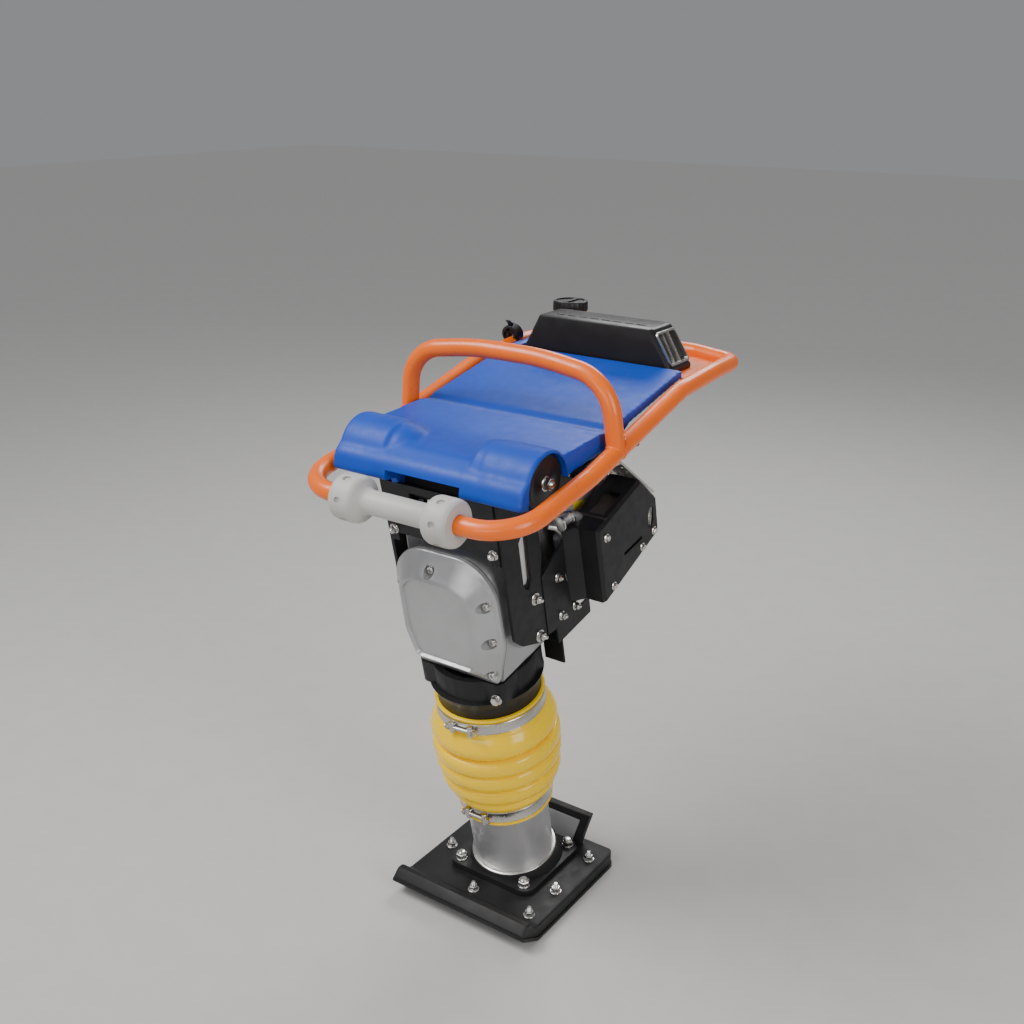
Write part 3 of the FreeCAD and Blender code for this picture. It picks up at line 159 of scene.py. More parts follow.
# Pale near-matt sheet for the plates behind the arms' slots: its pale colour is painted sheen, standing for
# the bright silver seen there through the shade.
PAINTED_SHEEN = finish_of("pale_painted_sheen", (0.78, 0.77, 0.75), 0.35,
                  metallic=0.15, grain=300, grain_depth=0.02, mottle=0.1)
RUBBER = finish_of("black_rubber", (0.011, 0.011, 0.0115), 0.6, grain=600, grain_depth=0.08, mottle=0.2)
IRON = finish_of("heat_dulled_iron", (0.09, 0.075, 0.065), 0.6,
                 metallic=0.6, grain=500, grain_depth=0.1, mottle=0.3)
PAPER = finish_of("gasket_fibre", (0.05, 0.05, 0.048), 0.8, grain=900, grain_depth=0.05)
LABEL = finish_of("plain_yellow_sticker", (0.85, 0.72, 0.02), 0.35, grain=900, grain_depth=0.01, mottle=0.04)
CREAM = finish_of("amber_neck", (0.85, 0.42, 0.1), 0.45, grain=900, grain_depth=0.03, mottle=0.05)
LINER = finish_of("liner_plate", (0.42, 0.42, 0.43), 0.4,
                  metallic=0.4, grain=700, grain_depth=0.04, mottle=0.1)
MESH = finish_of("stainless_mesh", (0.62, 0.6, 0.56), 0.35,
                 metallic=0.9, grain=700, grain_depth=0.05, mottle=0.15)


# ---------------------------------------------------------------- mesh helpers

def rounded(corners, steps=6):
    """A closed outline: each corner is (a, b, radius), with an arc of so many steps at each."""
    points = []
    count = len(corners)
    for i, (a, b, radius) in enumerate(corners):
        here = Vector((a, b))
        back = (Vector(corners[i - 1][:2]) - here).normalized()
        ahead = (Vector(corners[(i + 1) % count][:2]) - here).normalized()
        turn = math.pi - back.angle(ahead)
        reach = radius * math.tan(turn / 2)
        start = here + back * reach
        end = here + ahead * reach
        centre = here + (back + ahead).normalized() * (radius / math.cos(turn / 2))
        first = start - centre
        second = end - centre
        for k in range(steps + 1):
            mix = first.lerp(second, k / steps)
            points.append(tuple(centre + mix.normalized() * radius) if mix.length > 1e-9 else tuple(here))
    return points


def stack(layers, closed=True):
    """Vertices and faces of a skin through rings of the same number of points, capped at both ends."""
    count = len(layers[0])
    verts = [tuple(p) for layer in layers for p in layer]
    faces = []
    for j in range(len(layers) - 1):
        for i in range(count):
            k = (i + 1) % count
            faces.append((j * count + i, j * count + k, (j + 1) * count + k, (j + 1) * count + i))
    if closed:
        faces.append(tuple(range(count - 1, -1, -1)))
        faces.append(tuple((len(layers) - 1) * count + i for i in range(count)))
    return verts, faces


def lathe(profile, steps=96):
    """A ring skin round Z; the profile is a closed list of radius and height."""
    verts = []
    faces = []
    count = len(profile)
    for k in range(steps):
        angle = 2 * math.pi * k / steps
        verts += [(r * math.cos(angle), r * math.sin(angle), z) for r, z in profile]
    for k in range(steps):
        for i in range(count):
            a, b = k * count + i, k * count + (i + 1) % count
            c, d = ((k + 1) % steps) * count + (i + 1) % count, ((k + 1) % steps) * count + i
            faces.append((a, d, c, b))
    return verts, faces


def disc(profile, steps=48):
    """A turned solid whose profile starts and ends on the axis, from low to high."""
    verts = []
    faces = []
    inner = profile[1:-1]
    count = len(inner)
    for k in range(steps):
        angle = 2 * math.pi * k / steps
        verts += [(r * math.cos(angle), r * math.sin(angle), z) for r, z in inner]
    for k in range(steps):
        n = (k + 1) % steps
        for i in range(count - 1):
            faces.append((k * count + i, n * count + i, n * count + i + 1, k * count + i + 1))
    verts += [(0, 0, profile[0][1]), (0, 0, profile[-1][1])]
    low, high = len(verts) - 2, len(verts) - 1
    for k in range(steps):
        n = (k + 1) % steps
        faces.append((low, n * count, k * count))
        faces.append((high, k * count + count - 1, n * count + count - 1))
    return verts, faces


def rounded_path(points, radii, steps=10):
    """Points along straight runs joined by arcs."""
    path = [Vector(points[0])]
    for i, radius in zip(range(1, len(points) - 1), radii):
        here = Vector(points[i])
        back = (Vector(points[i - 1]) - here).normalized()
        ahead = (Vector(points[i + 1]) - here).normalized()
        half = (math.pi - back.angle(ahead)) / 2
        reach = radius * math.tan(half)
        start, end = here + back * reach, here + ahead * reach
        centre = here + (back + ahead).normalized() * (radius / math.cos(half))
        for k in range(steps + 1):
            spoke = (start - centre).lerp(end - centre, k / steps).normalized()
            path.append(centre + spoke * radius)
    path.append(Vector(points[-1]))
    return path


def tube(path, radius, steps=28, closed=True):
    """A round bar along a list of points."""
    layers = []
    side = None
    for i, here in enumerate(path):
        ahead = path[min(i + 1, len(path) - 1)] - path[max(i - 1, 0)]
        ahead.normalize()
        if side is None:
            side = ahead.orthogonal().normalized()
        side = (side - ahead * side.dot(ahead)).normalized()
        up = ahead.cross(side)
        layers.append([here + (side * math.cos(t) + up * math.sin(t)) * radius
                       for t in (2 * math.pi * k / steps for k in range(steps))])
    return stack(layers, closed)


def placed(shape, matrix):
    verts, faces = shape
    return [tuple(matrix @ Vector(v)) for v in verts], faces


def joined(*shapes):
    verts, faces = [], []
    for v, f in shapes:
        start = len(verts)
        verts += v
        faces += [tuple(i + start for i in face) for face in f]
    return verts, faces


def bevel_on(item, width, segments=2, angle=35):
    bevel = item.modifiers.new("Bevel", "BEVEL")
    bevel.width = width * MM
    bevel.segments = segments
    bevel.limit_method = "ANGLE"
    bevel.angle_limit = math.radians(angle)
    bevel.harden_normals = True


def link(item):
    """Puts a new object in the scene."""
    bpy.context.scene.collection.objects.link(item)
    return item


def make(name, shape, material, leg=False, scale=MM, smooth=40, bevel=0.0):
    """A mesh object in the row frame from vertices and faces in millimetres."""
    verts, faces = shape
    place = (LEG if leg else Matrix.Identity(4)) @ Matrix.Scale(scale, 4)
    mesh = bpy.data.meshes.new(name)
    mesh.from_pydata([tuple(place @ Vector(v)) for v in verts], [], faces)
    edit = bmesh.new()
    edit.from_mesh(mesh)
    bmesh.ops.recalc_face_normals(edit, faces=edit.faces)
    edit.to_mesh(mesh)
    edit.free()
    mesh.shade_smooth()
    mesh.set_sharp_from_angle(angle=math.radians(smooth))
    mesh.materials.append(material)
    item = link(bpy.data.objects.new(name, mesh))
    if bevel:
        bevel_on(item, bevel)
    return item


def settle(item):
    """Applies an object's modifiers to its mesh."""
    bpy.context.view_layer.update()
    done = bpy.data.meshes.new_from_object(item.evaluated_get(bpy.context.evaluated_depsgraph_get()))
    item.modifiers.clear()
    item.data = done
    return item


def carve(item, tools, smooth=40):
    """Cuts closed shapes, in millimetres of the row frame, out of an object."""
    for number, tool in enumerate(tools):
        cutter = make(f"cutter_{number}", tool, item.data.materials[0])
        trim = item.modifiers.new("Cut", "BOOLEAN")
        trim.object = cutter
        trim.solver = "MANIFOLD"
        settle(item)
        bpy.data.objects.remove(cutter)
    item.data.shade_smooth()
    item.data.set_sharp_from_angle(angle=math.radians(smooth))
    return item


def place(item, body, slot, *nodes):
    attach(item, body)
    if nodes:
        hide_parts(*nodes)
    return item


def leg_shape(shape):
    """A shape in leg millimetres, put in row millimetres."""
    return placed(shape, Matrix.Scale(1000, 4) @ LEG @ Matrix.Scale(MM, 4))


def hex_bolt(across, head, washer=0.0, stud=0.0):
    """A flanged hexagon head standing on z 0, with chamfered corners and a bit of thread."""
    radius = across / math.sqrt(3)
    shapes = []
    base = 0.0
    if washer:
        shapes.append(disc([(0, 0), (washer, 0), (washer, 1.4), (washer - 0.8, 2.2), (0, 2.2)], 36))
        base = 2.2
    layers = []
    for size, z in ((0.93, base), (1.0, base + 0.8), (1.0, base + head - 1.4), (0.86, base + head)):
        layers.append([(radius * size * math.cos(t), radius * size * math.sin(t), z)
                       for t in (math.pi * k / 3 for k in range(6))])
    shapes.append(stack(layers))
    if stud:
        thread = [(0, base + head - 1)]
        turns = int(stud / 1.25)
        for k in range(turns):
            z = base + head + k * 1.25
            thread += [(across * 0.29, z), (across * 0.25, z + 0.62)]
        top = base + head + stud
        thread += [(across * 0.2, top), (0, top)]
        shapes.append(disc(thread, 20))
    return joined(*shapes)


def cap_screw(radius, height, socket):
    """A socket-headed screw standing on z 0."""
    profile = [(0, 0), (radius, 0), (radius, height - 0.8), (radius - 0.8, height), (socket * 1.05, height),
               (socket, height - 0.5), (socket, height - 3), (0, height - 3)]
    return disc(profile, 24)


def facing(axis, at, turn=0.0):
    """Stands a z-up shape on a face that looks along an axis."""
    point = {"+x": ALONG_X, "-x": Matrix.Rotation(math.pi, 4, "Z") @ ALONG_X,
             "-y": Matrix.Rotation(math.pi / 2, 4, "X"), "+y": Matrix.Rotation(-math.pi / 2, 4, "X"),
             "+z": Matrix.Identity(4)}[axis]
    return Matrix.Translation(at) @ point @ Matrix.Rotation(turn, 4, "Z")


# ---------------------------------------------------------------- camera, floor and light

def photo_camera():
    """The camera fitted to the photograph."""
    lens = bpy.data.cameras.new("photo_camera")
    lens.sensor_width = 36
    lens.lens = 41.96
    camera = link(bpy.data.objects.new("photo_camera", lens))
    camera.location = (1.0942, -1.569, 1.4529)
    camera.rotation_euler = (math.radians(90 - 20.554), 0, math.radians(35.0764))
    bpy.context.scene.camera = camera


def floor_and_world():
    """A plain pale floor under a plain pale sky."""
    ground = finish_of("pale_floor", (0.5, 0.49, 0.475), 0.8, grain=90, grain_depth=0.1, mottle=0.02)
    reach = 16
    corners = [(-reach, -reach, 0), (reach, -reach, 0), (reach, reach, 0), (-reach, reach, 0)]
    make("floor", (corners, [(0, 1, 2, 3)]), ground, scale=1)
    world = bpy.data.worlds.new("studio")
    world.use_nodes = True
    background = world.node_tree.nodes["Background"]
    background.inputs["Color"].default_value = (0.88, 0.9, 0.94, 1)
    background.inputs["Strength"].default_value = 0.3
    bpy.context.scene.world = world


def lights():
    """A broad soft sun and four soft boxes, each turned to the machine's middle."""
    daylight = bpy.data.lights.new("daylight", "SUN")
    daylight.energy = 0.9
    daylight.angle = math.radians(50)
    link(bpy.data.objects.new("daylight", daylight)).rotation_euler = (math.radians(28), math.radians(-22), 0)
    middle = Vector((0, 0.05, 0.6))
    boxes = (
        ("key", (-1.4, -1.2, 2.9), (1.5, 1.1), 60),
        ("right_fill", (2.6, -0.9, 1.7), (1.0, 1.6), 34),
        ("front_fill", (0.4, -3.2, 1.5), (2.4, 0.9), 22),
        ("back_rim", (-0.6, 2.4, 2.6), (1.8, 1.0), 46),
    )
    for name, at, size, power in boxes:
        light = bpy.data.lights.new(name, "AREA")
        light.shape = "RECTANGLE"
        light.size, light.size_y = size
        light.energy = power
        lamp = link(bpy.data.objects.new(name, light))
        lamp.location = at
        lamp.rotation_euler = (middle - Vector(at)).to_track_quat("-Z", "Y").to_euler()


# ---------------------------------------------------------------- CAD pieces that stay

KEPT = {
    "sole_plate": (BLACK, 0.6), "heel_plate": (LINER, 0.4), "foot_flange": (BLACK, 2.2),
    "spring_cylinder": (SILVER, 0), "cylinder_cap": (GROUND, 0), "guide_cylinder": (BLACK, 1.2),
    "guide_bush": (NYLON, 0),
    "crankcase": (CAST, 1.5), "crankcase_gasket": (PAPER, 0), "right_arm": (BLACK, 0.8),
    "left_arm": (BLACK, 0.8), "cross_plate": (BLACK, 0.6), "crank_gear": (GROUND, 0),
    "pinion_shaft": (GROUND, 0), "clutch_drum": (GROUND, 0.5), "bearings": (GROUND, 0),
    "con_rod": (GROUND, 0.8), "piston_rod": (GROUND, 0.8), "spring_piston": (GROUND, 0.8),
    "clutch_housing": (ALLOY, 1.0), "engine_block": (ALLOY, 2.0), "engine_cylinder": (ALLOY, 0.5),
    "engine_rotor": (ALLOY, 0), "fan_shroud": (BLACK, 1.0), "recoil_cover": (PLASTIC, 1.0),
    "starter_grip": (PLASTIC, 2.5), "stop_switch": (PLASTIC, 0.8), "side_shroud": (SILVER, 1.2),
    "carburettor": (ALLOY, 1.5), "choke_lever": (PLASTIC, 0.8), "muffler": (IRON, 3.0),
    "muffler_guard": (BLACK, 1.6), "spark_screen": (MESH, 0.2), "engine_side_plates": (BLACK, 0.7),
    "base_bracket": (BLACK, 0.8), "rubber_isolators": (RUBBER, 1.5), "handle_brackets": (BLACK, 0.8),
    "rear_shelf": (ORANGE, 0.6), "tank_rails": (ORANGE, 0.4),
}


def dress_kept():
    """Shared vertices, crisp smooth shading, softened edges and a full material on each kept CAD node."""
    for name, (material, width) in KEPT.items():
        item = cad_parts[name]
        for slot in item.material_slots:
            slot.material = material
        weld = item.modifiers.new("Weld", "WELD")
        weld.merge_threshold = 2e-5
        if width:
            bevel_on(item, width, 2, 32)
        else:
            smooth_by_angle(item)


def smooth_by_angle(item):
    item.data.shade_smooth()
    item.data.set_sharp_from_angle(angle=math.radians(32))


# ---------------------------------------------------------------- foot

DECK_TOP = 30.05
FLANGE_TOP = 42.05


def shoe_deck():
    """The thick shoe: a flat deck with a rolled toe lip and rounded heel corners."""
    profile = rounded([
        (128, 6, 3), (128, 30, 5), (-136, 30, 9), (-152, 35, 5), (-160, 49, 2.5), (-164, 51, 2),
        (-173, 51, 4), (-188, 37.5, 3), (-185, 33, 1), (-138.6, 6.2, 4),
    ], 4)
    layers = []
    for x, inset in ((-146, 3.0), (-144.6, 1.2), (-141, 0), (141, 0), (144.6, 1.2), (146, 3.0)):
        layers.append([(x, y, z - inset * (0.9 if z > 20 else -0.3)) for y, z in profile])
    body = make("shoe_deck", stack(layers), SHOE, bevel=0.8, smooth=32)
    corner_cuts = []
    for side in (-1, 1):
        curve = [(side * (126 + 20 * math.cos(t)), 108 + 20 * math.sin(t)) for t in
                 (math.pi / 2 * (1 - k / 10) for k in range(11))]
        outline = [(side * 126, 170), (side * 170, 170), (side * 170, 108)] + curve[::-1]
        corner_cuts.append(stack([[(a, b, z) for a, b in outline] for z in (0, 60)]))
    carve(body, corner_cuts, 32)
    bevel_on(body, 1.2, 2, 40)
    place(body, "foot", "laminate", "shoe_block")


def tongue_ring(z, lean, margin, front, back):
    """One level of the tongue, which widens and leans back as it rises."""
    half = 82 + 14 * lean - margin
    y = 97 + 17 * lean
    return [(-half, y + front, z), (half, y + front, z), (half, y + back, z), (-half, y + back, z)]


def heel_tongue():
    """The board that stands up at the heel, with a shallow window for its liner."""
    rings = [tongue_ring(z, lean, 0, 0, 15) for z, lean in ((26, 0), (93, 1))]
    board = make("heel_tongue", stack(rings), SHOE, smooth=32)
    window = [tongue_ring(z, lean, 17, -12, 4.2) for z, lean in ((33, 0.1), (79, 0.8))]
    carve(board, [stack(window)], 32)
    bevel_on(board, 2.0, 3, 40)
    place(board, "foot", "laminate")


def foot_hardware():
    """The bright edge at the leg's foot, the shoe's bolts and the flange's domed nuts."""
    edge = lathe([(74.6, 18.1), (79.5, 18.1), (80.0, 18.8), (79.4, 19.7), (77.0, 20.6), (74.6, 20.8)], 96)
    place(make("leg_foot_edge", edge, BAND, leg=True, smooth=40), "foot", "silver_paint")
    bolts = []
    for x, y in ((-120, -42), (120, -42), (-120, 73), (120, 73), (-7, -124), (117, -124)):
        bolts.append(placed(hex_bolt(15, 7.5, 11, 8), Matrix.Translation((x, y, DECK_TOP))
                            @ Matrix.Rotation(0.3 + x * 0.02, 4, "Z")))
    place(make("shoe_bolt_set", joined(*bolts), ZINC, smooth=28), "foot", "zinc_steel", "shoe_bolts")
    studs = []
    for x, y in ((71.3, 74.4), (-71.3, 74.4), (71.3, -74.4), (-71.3, -74.4)):
        studs.append(placed(hex_bolt(19, 9.5, 11, 0), Matrix.Translation((x, y, FLANGE_TOP))
                            @ Matrix.Rotation(y, 4, "Z")))
        dome = disc([(0, 0), (8.6, 0), (8.0, 2.8), (5.6, 5.2), (0, 6.2)], 28)
        studs.append(placed(dome, Matrix.Translation((x, y, 53.0))))
    place(make("flange_bolt_set", joined(*studs), ZINC, smooth=28), "foot", "zinc_steel", "flange_bolts")


def bellows_rings():
    """The outside of the fat rings: crease to crest to crease, each crease wider than the last."""
    seams = (188, 210, 246, 281, 315)
    roots = (85.5, 89, 95, 99.5, 101.5)
    crests = (98.5, 109.5, 113.8, 115.6)
    steps = 14
    points = []
    for i, crest in enumerate(crests):
        low, high = seams[i], seams[i + 1]
        for k in range(steps + 1):
            turn = math.pi * k / steps
            fat = math.sin(turn) ** 0.62
            base = roots[i] + (roots[i + 1] - roots[i]) * k / steps
            z = low + (high - low) * (0.5 - 0.5 * math.cos(turn))
            points.append((base + (crest - (roots[i] + roots[i + 1]) / 2) * fat, z))
    for k in range(1, steps + 1):
        share = k / steps
        rise = 13.8 * math.sin(math.pi * min(share / 0.62, 1.0) / 2) ** 0.75
        fall = 15.5 * max(share - 0.3, 0) ** 1.6 / 0.565
        points.append((roots[-1] + rise - fall, seams[-1] + 48 * share))
    return points


def bellows():
    """Fat rings with tight creases between them, and a collar at each end."""
    outer = [(82.2, 150.3), (87.0, 150.3), (87.5, 152.2), (86.8, 153.4), (85, 154), (85, 182), (86.5, 185)]
    outer += bellows_rings()
    outer += [(95.6, 365.5), (95.0, 367), (95.0, 393), (96.6, 394),
              (97.5, 395.5), (97.4, 397.8), (96.0, 398.8)]
    inner = [(91.3, 398.8), (91.3, 300), (91.0, 250), (88, 215), (82.4, 187), (82.1, 180)]
    skin = make("bellows_skin", lathe(outer + inner, 128), YELLOW, leg=True, smooth=60)
    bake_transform(skin)
    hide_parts("bellows")


def springs():
    """The two coils inside the leg, each wound from its seat on the foot to the piston."""
    coil_radius, wire, turns, per_turn = 50, 6, 7, 28
    coils = (("lower_spring", 2.2, 180.5, 2.2, 180.5), ("upper_spring", 201.5, 373.5, 373.5, 201.5))
    for name, low, high, seat, piston in coils:
        count = turns * per_turn
        path = []
        for k in range(count + 1):
            angle = 2 * math.pi * k / per_turn
            height = low + wire + (high - low - 2 * wire) * k / count
            path.append(Vector((coil_radius * math.cos(angle), coil_radius * math.sin(angle), height)))
        coil = make(name + "_coil", tube(path, wire, 14), SPRING, leg=True, smooth=60)
        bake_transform(coil)
        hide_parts(name)


def round_front(radius, angle, z):
    """A point at an angle from the front of a ring round the leg."""
    return radius * math.sin(angle), -radius * math.cos(angle), z


def clamp_strap(outside, middle, width):
    """The bridge that closes the band's gap."""
    low, high = middle - width / 2, middle + width / 2
    section = ((0, low), (1.2, low), (1.2, high), (0, high))
    angles = [math.radians(-16 + 4 * k) for k in range(9)]
    return stack([[round_front(outside + d, angle, z) for d, z in section] for angle in angles])


def clamp_ear(side, outside, middle, width):
    """The two wire loops and the trunnion on one side of the gap."""
    parts = []
    angle = math.radians(11) * side
    for z_off in (-width / 2 + 2.6, width / 2 - 2.6):
        loop = []
        for k in range(13):
            t = math.pi * k / 12
            around = angle + side * 0.055 * math.cos(t)
            loop.append(Vector(round_front(outside + 8.5 * math.sin(t), around, middle + z_off)))
        parts.append(tube(loop, 1.9, 10))
    tall = width / 2 + 3
    trunnion = disc([(0, -tall), (4.2, -tall), (5.0, 0.8 - tall),
                     (5.0, tall - 0.8), (4.2, tall), (0, tall)], 20)
    x = 18.0 * side
    parts.append(placed(trunnion, Matrix.Translation((x, -outside - 4.6 + abs(x) * 0.05, middle))))
    return parts


def clamp_bolt(outside, middle):
    """The T-bolt across the gap, its nut and its head."""
    bolt = disc([(0, -31), (3.4, -31), (3.4, 30), (0, 30)], 18)
    pieces = ((bolt, 0), (hex_bolt(12, 7.5), 22.8), (hex_bolt(11, 5), -28))
    return [placed(piece, Matrix.Translation((x, -outside - 5.2, middle)) @ ALONG_X) for piece, x in pieces]


def clamp_dents(outside, middle):
    """The pressed rivets beside the bridge."""
    dents = []
    for k in range(4):
        turn = Matrix.Rotation(math.radians(24 + 3.4 * k), 4, "Z")
        height = middle + (2.4 if k % 2 else -2.4)
        dent = disc([(0, 0), (1.5, 0), (1.2, 0.9), (0, 1.2)], 12)
        dents.append(placed(dent, turn @ facing("-y", (0, -outside + 0.2, height))))
    return dents


def clamp_set(name, radius, low, high, turn, body, node):
    """A stainless band with rolled edges, and a T-bolt across its bridge and trunnions."""
    outside = radius + 1.6
    band = lathe([(radius + 0.05, low), (outside, low), (outside + 0.7, low + 1.2), (outside, low + 2.4),
                  (outside, high - 2.4), (outside + 0.7, high - 1.2), (outside, high),
                  (radius + 0.05, high)], 128)
    middle = (low + high) / 2
    width = high - low - 6
    parts = [clamp_strap(outside, middle, width)]
    for side in (-1, 1):
        parts += clamp_ear(side, outside, middle, width)
    parts += clamp_bolt(outside, middle) + clamp_dents(outside, middle)
    shape = placed(joined(band, *parts), Matrix.Rotation(math.radians(turn), 4, "Z"))
    place(make(name, shape, BAND, leg=True, smooth=35), body, "zinc_steel", node)


# ---------------------------------------------------------------- crankcase

# Across, up and the depth of each screw's seat.
SCREWS = ((-10, 689, -82), (87, 642, -76), (88, 573, -75), (77, 502, -74.5),
          (-77, 502, -74.5), (-88, 573, -75), (-87, 642, -76))


def both_halves(bottom, side, top):
    """A six-cornered outline from its right half; each corner is half width, height and radius."""
    left = [(-a, b, radius) for a, b, radius in (bottom, side, top)]
    return [left[0], bottom, side, top, left[2], left[1]]


def drawn_in(outline, share):
    """An outline of the cover shrunk about the cover's middle."""
    middle = 596
    return [(a * share, middle + (b - middle) * share, radius) for a, b, radius in outline]


def cover_layers():
    """The cover's levels from its rim to its sunk panel."""
    rim = both_halves((82, 479.5, 12), (104, 561.5, 60), (100, 713, 72))
    foot = both_halves((74, 486, 12), (97, 556, 55), (93, 706, 68))
    brow = both_halves((62, 513, 12), (76, 566, 46), (73, 680, 46))
    face = both_halves((58, 517, 10), (71.5, 568, 42), (68.5, 675, 42))
    sunk = both_halves((55, 520.5, 8), (67.5, 569, 39), (64.5, 671, 39))
    levels = ((rim, -63.05), (rim, -69.4), (drawn_in(rim, 0.99), -71), (foot, -73.5), (brow, -98.5),
              (face, -101.6), (drawn_in(face, 0.985), -101.9), (sunk, -96.8))
    return [[(a, t, b) for a, b in rounded(outline, 10)] for outline, t in levels]


def cover():
    """The dished casting: a screwed rim, sloping sides, and a panel sunk a little into its front."""
    item = make("cover_casting", stack(cover_layers()), CAST, leg=True, smooth=24)
    pockets = []
    for x, z, seat in SCREWS:
        pocket = disc([(0, 0), (9.6, 0), (10.8, 45), (0, 45)], 32)
        pockets.append(leg_shape(placed(pocket, facing("-y", (x, seat, z)))))
    carve(item, pockets, 26)
    bevel_on(item, 1.1, 3, 30)
    place(item, "upper_unit", "cast_alloy", "crankcase_cover")
    seats = [facing("-y", (x, seat + 0.3, z)) for x, z, seat in SCREWS]
    heads = [placed(cap_screw(6.4, 6, 3), seat) for seat in seats]
    rings = [placed(disc([(0, 0), (8.6, 0), (8.6, 1.2), (0, 1.2)], 28), seat) for seat in seats]
    screws = make("cover_screw_set", joined(*heads, *rings), ZINC, leg=True, smooth=28)
    place(screws, "upper_unit", "zinc_steel", "cover_screws")


def outside_bolts():
    """Every bolt that shows on the upper unit."""
    parts = []
    for side in (-1, 1):
        face = "+x" if side > 0 else "-x"
        for t, s in ((12, 609), (12, 536)):
            parts.append(placed(hex_bolt(13, 7.5, 11, 6), facing(face, (side * 115.05, t, s), s)))
        for t, s in ((77, 612), (76, 536), (118, 530)):
            parts.append(placed(hex_bolt(11, 6.5, 8.5, 3.5), facing(face, (side * 117.05, t, s), s)))
        parts.append(placed(hex_bolt(12, 7, 9, 3), facing("-y", (side * 99, -56.6, 729), 0.4)))
    for t, s in ((292, 598), (250, 588), (150, 568), (140, 668)):
        parts.append(placed(hex_bolt(9.5, 4, 7.6), facing("+x", (178.05, t, s), s)))
    parts.append(placed(hex_bolt(14, 7, 10), facing("-y", (76, -74.1, 450), 0.2)))
    item = make("outside_bolt_set", joined(*parts), ZINC, leg=True, smooth=28)
    place(item, "upper_unit", "zinc_steel", "frame_bolts")


# ---------------------------------------------------------------- handle

HALF = 208
RAIL_AT, SLOPE = 888.4, 0.2606
BAR = 15


def rail(y):
    """A point on the right rail's axis."""
    return Vector((HALF, y, RAIL_AT + (y + 20) * SLOPE))


def bent_bar(side, bends, steps):
    """A tube along a right-hand path and its mirror image, with an arc at each bend."""
    path = side + [Vector((-p.x, p.y, p.z)) for p in reversed(side)]
    return tube(rounded_path(path, bends + bends[::-1], steps), BAR, 40)


def weld_ring(at, along, radius, width=3.2):
    """A low rippled bead round a tube."""
    count = 54
    layers = []
    for k in range(7):
        swell = math.sin(math.pi * k / 6)
        ring = []
        for j in range(count):
            t = 2 * math.pi * j / count
            ripple = 0.25 * math.sin(9 * t + k * 0.7)
            ring.append(((radius + 1.5 * swell + ripple * swell) * math.cos(t),
                         (radius + 1.5 * swell + ripple * swell) * math.sin(t), (k / 6 - 0.5) * width * 2))
        layers.append(ring)
    turn = Vector((0, 0, 1)).rotation_difference(along).to_matrix().to_4x4()
    return placed(stack(layers), Matrix.Translation(at) @ turn)


def handle():
    """The orange loop in two tubes, with the hoop over the tank."""
    weld = rail(-20)
    front = [weld, rail(-102), Vector((HALF, -190, 853)), Vector((HALF, -304, 833))]
    rear = [weld, rail(186), Vector((HALF, 312, 950)), Vector((HALF - 3, 392, 950)), Vector((118, 418, 952))]
    top = 1018
    bow = [rail(-24) - Vector((0, 0, 1)), Vector((194, -29, top - 17)), Vector((64, -22, top))]
    for name, side, bends, steps, node in (
        ("handle_front", front, [200, 300, 74], 18, "front_handle_tube"),
        ("handle_rear", rear, [120, 300, 26, 60], 14, "rear_handle_tube"),
        ("handle_hoop", bow, [74, 600], 18, "hoop"),
    ):
        item = make(name, bent_bar(side, bends, steps), ORANGE, smooth=50)
        place(item, "handle", "orange_paint", node)


def hoop_bead(side):
    """A bead that follows the rail's round top where a leg of the hoop meets it."""
    reach = BAR + 0.6
    loop = []
    for j in range(41):
        t = 2 * math.pi * j / 40
        x, y = reach * math.cos(t), reach * math.sin(t)
        drop = math.sqrt(max(reach ** 2 - x * x, 0))
        height = RAIL_AT + (y - 4) * SLOPE + drop * 0.97
        loop.append(Vector((side * (HALF - 0.5 + x), -24 + y, height)))
    return tube(loop, 2.0, 10)


def weld_beads():
    """The welds between the handle's tubes, and between them and the hoop."""
    beads = []
    for side in (-1, 1):
        joint = Vector((side * HALF, -20, RAIL_AT))
        beads.append(weld_ring(joint, Vector((0, 1, SLOPE)).normalized(), 14.6, 1.8))
        beads.append(hoop_bead(side))
    place(make("weld_beads", joined(*beads), ORANGE, smooth=60), "handle", "orange_paint")


def roller():
    """A grey spool: a slim waist between two drums whose sides have moulded pockets."""
    centre = Matrix.Translation((0, -304, 833))
    half = [(19.5, 0), (19.5, 52), (20.2, 58), (24, 63), (30.2, 65.5), (33.5, 67.5), (36.2, 71), (37.4, 75),
            (37.5, 80), (37.5, 100), (37.2, 105), (35.8, 109.5), (32.5, 112.4), (28, 113),
            (17.5, 113), (15.3, 112)]
    profile = half + [(r, -x) for r, x in reversed(half[1:])]
    body = make("guide_roller", placed(lathe(profile, 72), centre @ ALONG_X), GREY, smooth=50)
    mouth = rounded([(84, -5, 4.6), (97, -5, 4.6), (97, 5, 4.6), (84, 5, 4.6)], 5)
    pockets = []
    for side in (-1, 1):
        slot = stack([[(side * a, b, z) for a, b in mouth] for z in (33.8, 45)])
        for k in range(6):
            turn = Matrix.Rotation(math.pi * k / 3 + 0.35, 4, "X")
            pockets.append(placed(slot, centre @ turn))
    carve(body, pockets, 32)
    bevel_on(body, 0.7, 2, 34)
    place(body, "roller_spool", "grey_plastic", "roller")


# ---------------------------------------------------------------- tank

# The isolators' axis, first in the leg frame and then in the row frame.
ISO_T, ISO_S = -3, 843
ISO_Y = ISO_T * math.cos(LEAN) - ISO_S * math.sin(LEAN)
ISO_Z = FOOT_JOINT + ISO_T * math.sin(LEAN) + ISO_S * math.cos(LEAN)

# The noses' axis lies a little forward of and below the isolators'.
NOSE_Y, NOSE_Z = ISO_Y - 6, ISO_Z - 3
CAP_X, CAP_Y = -121, 356


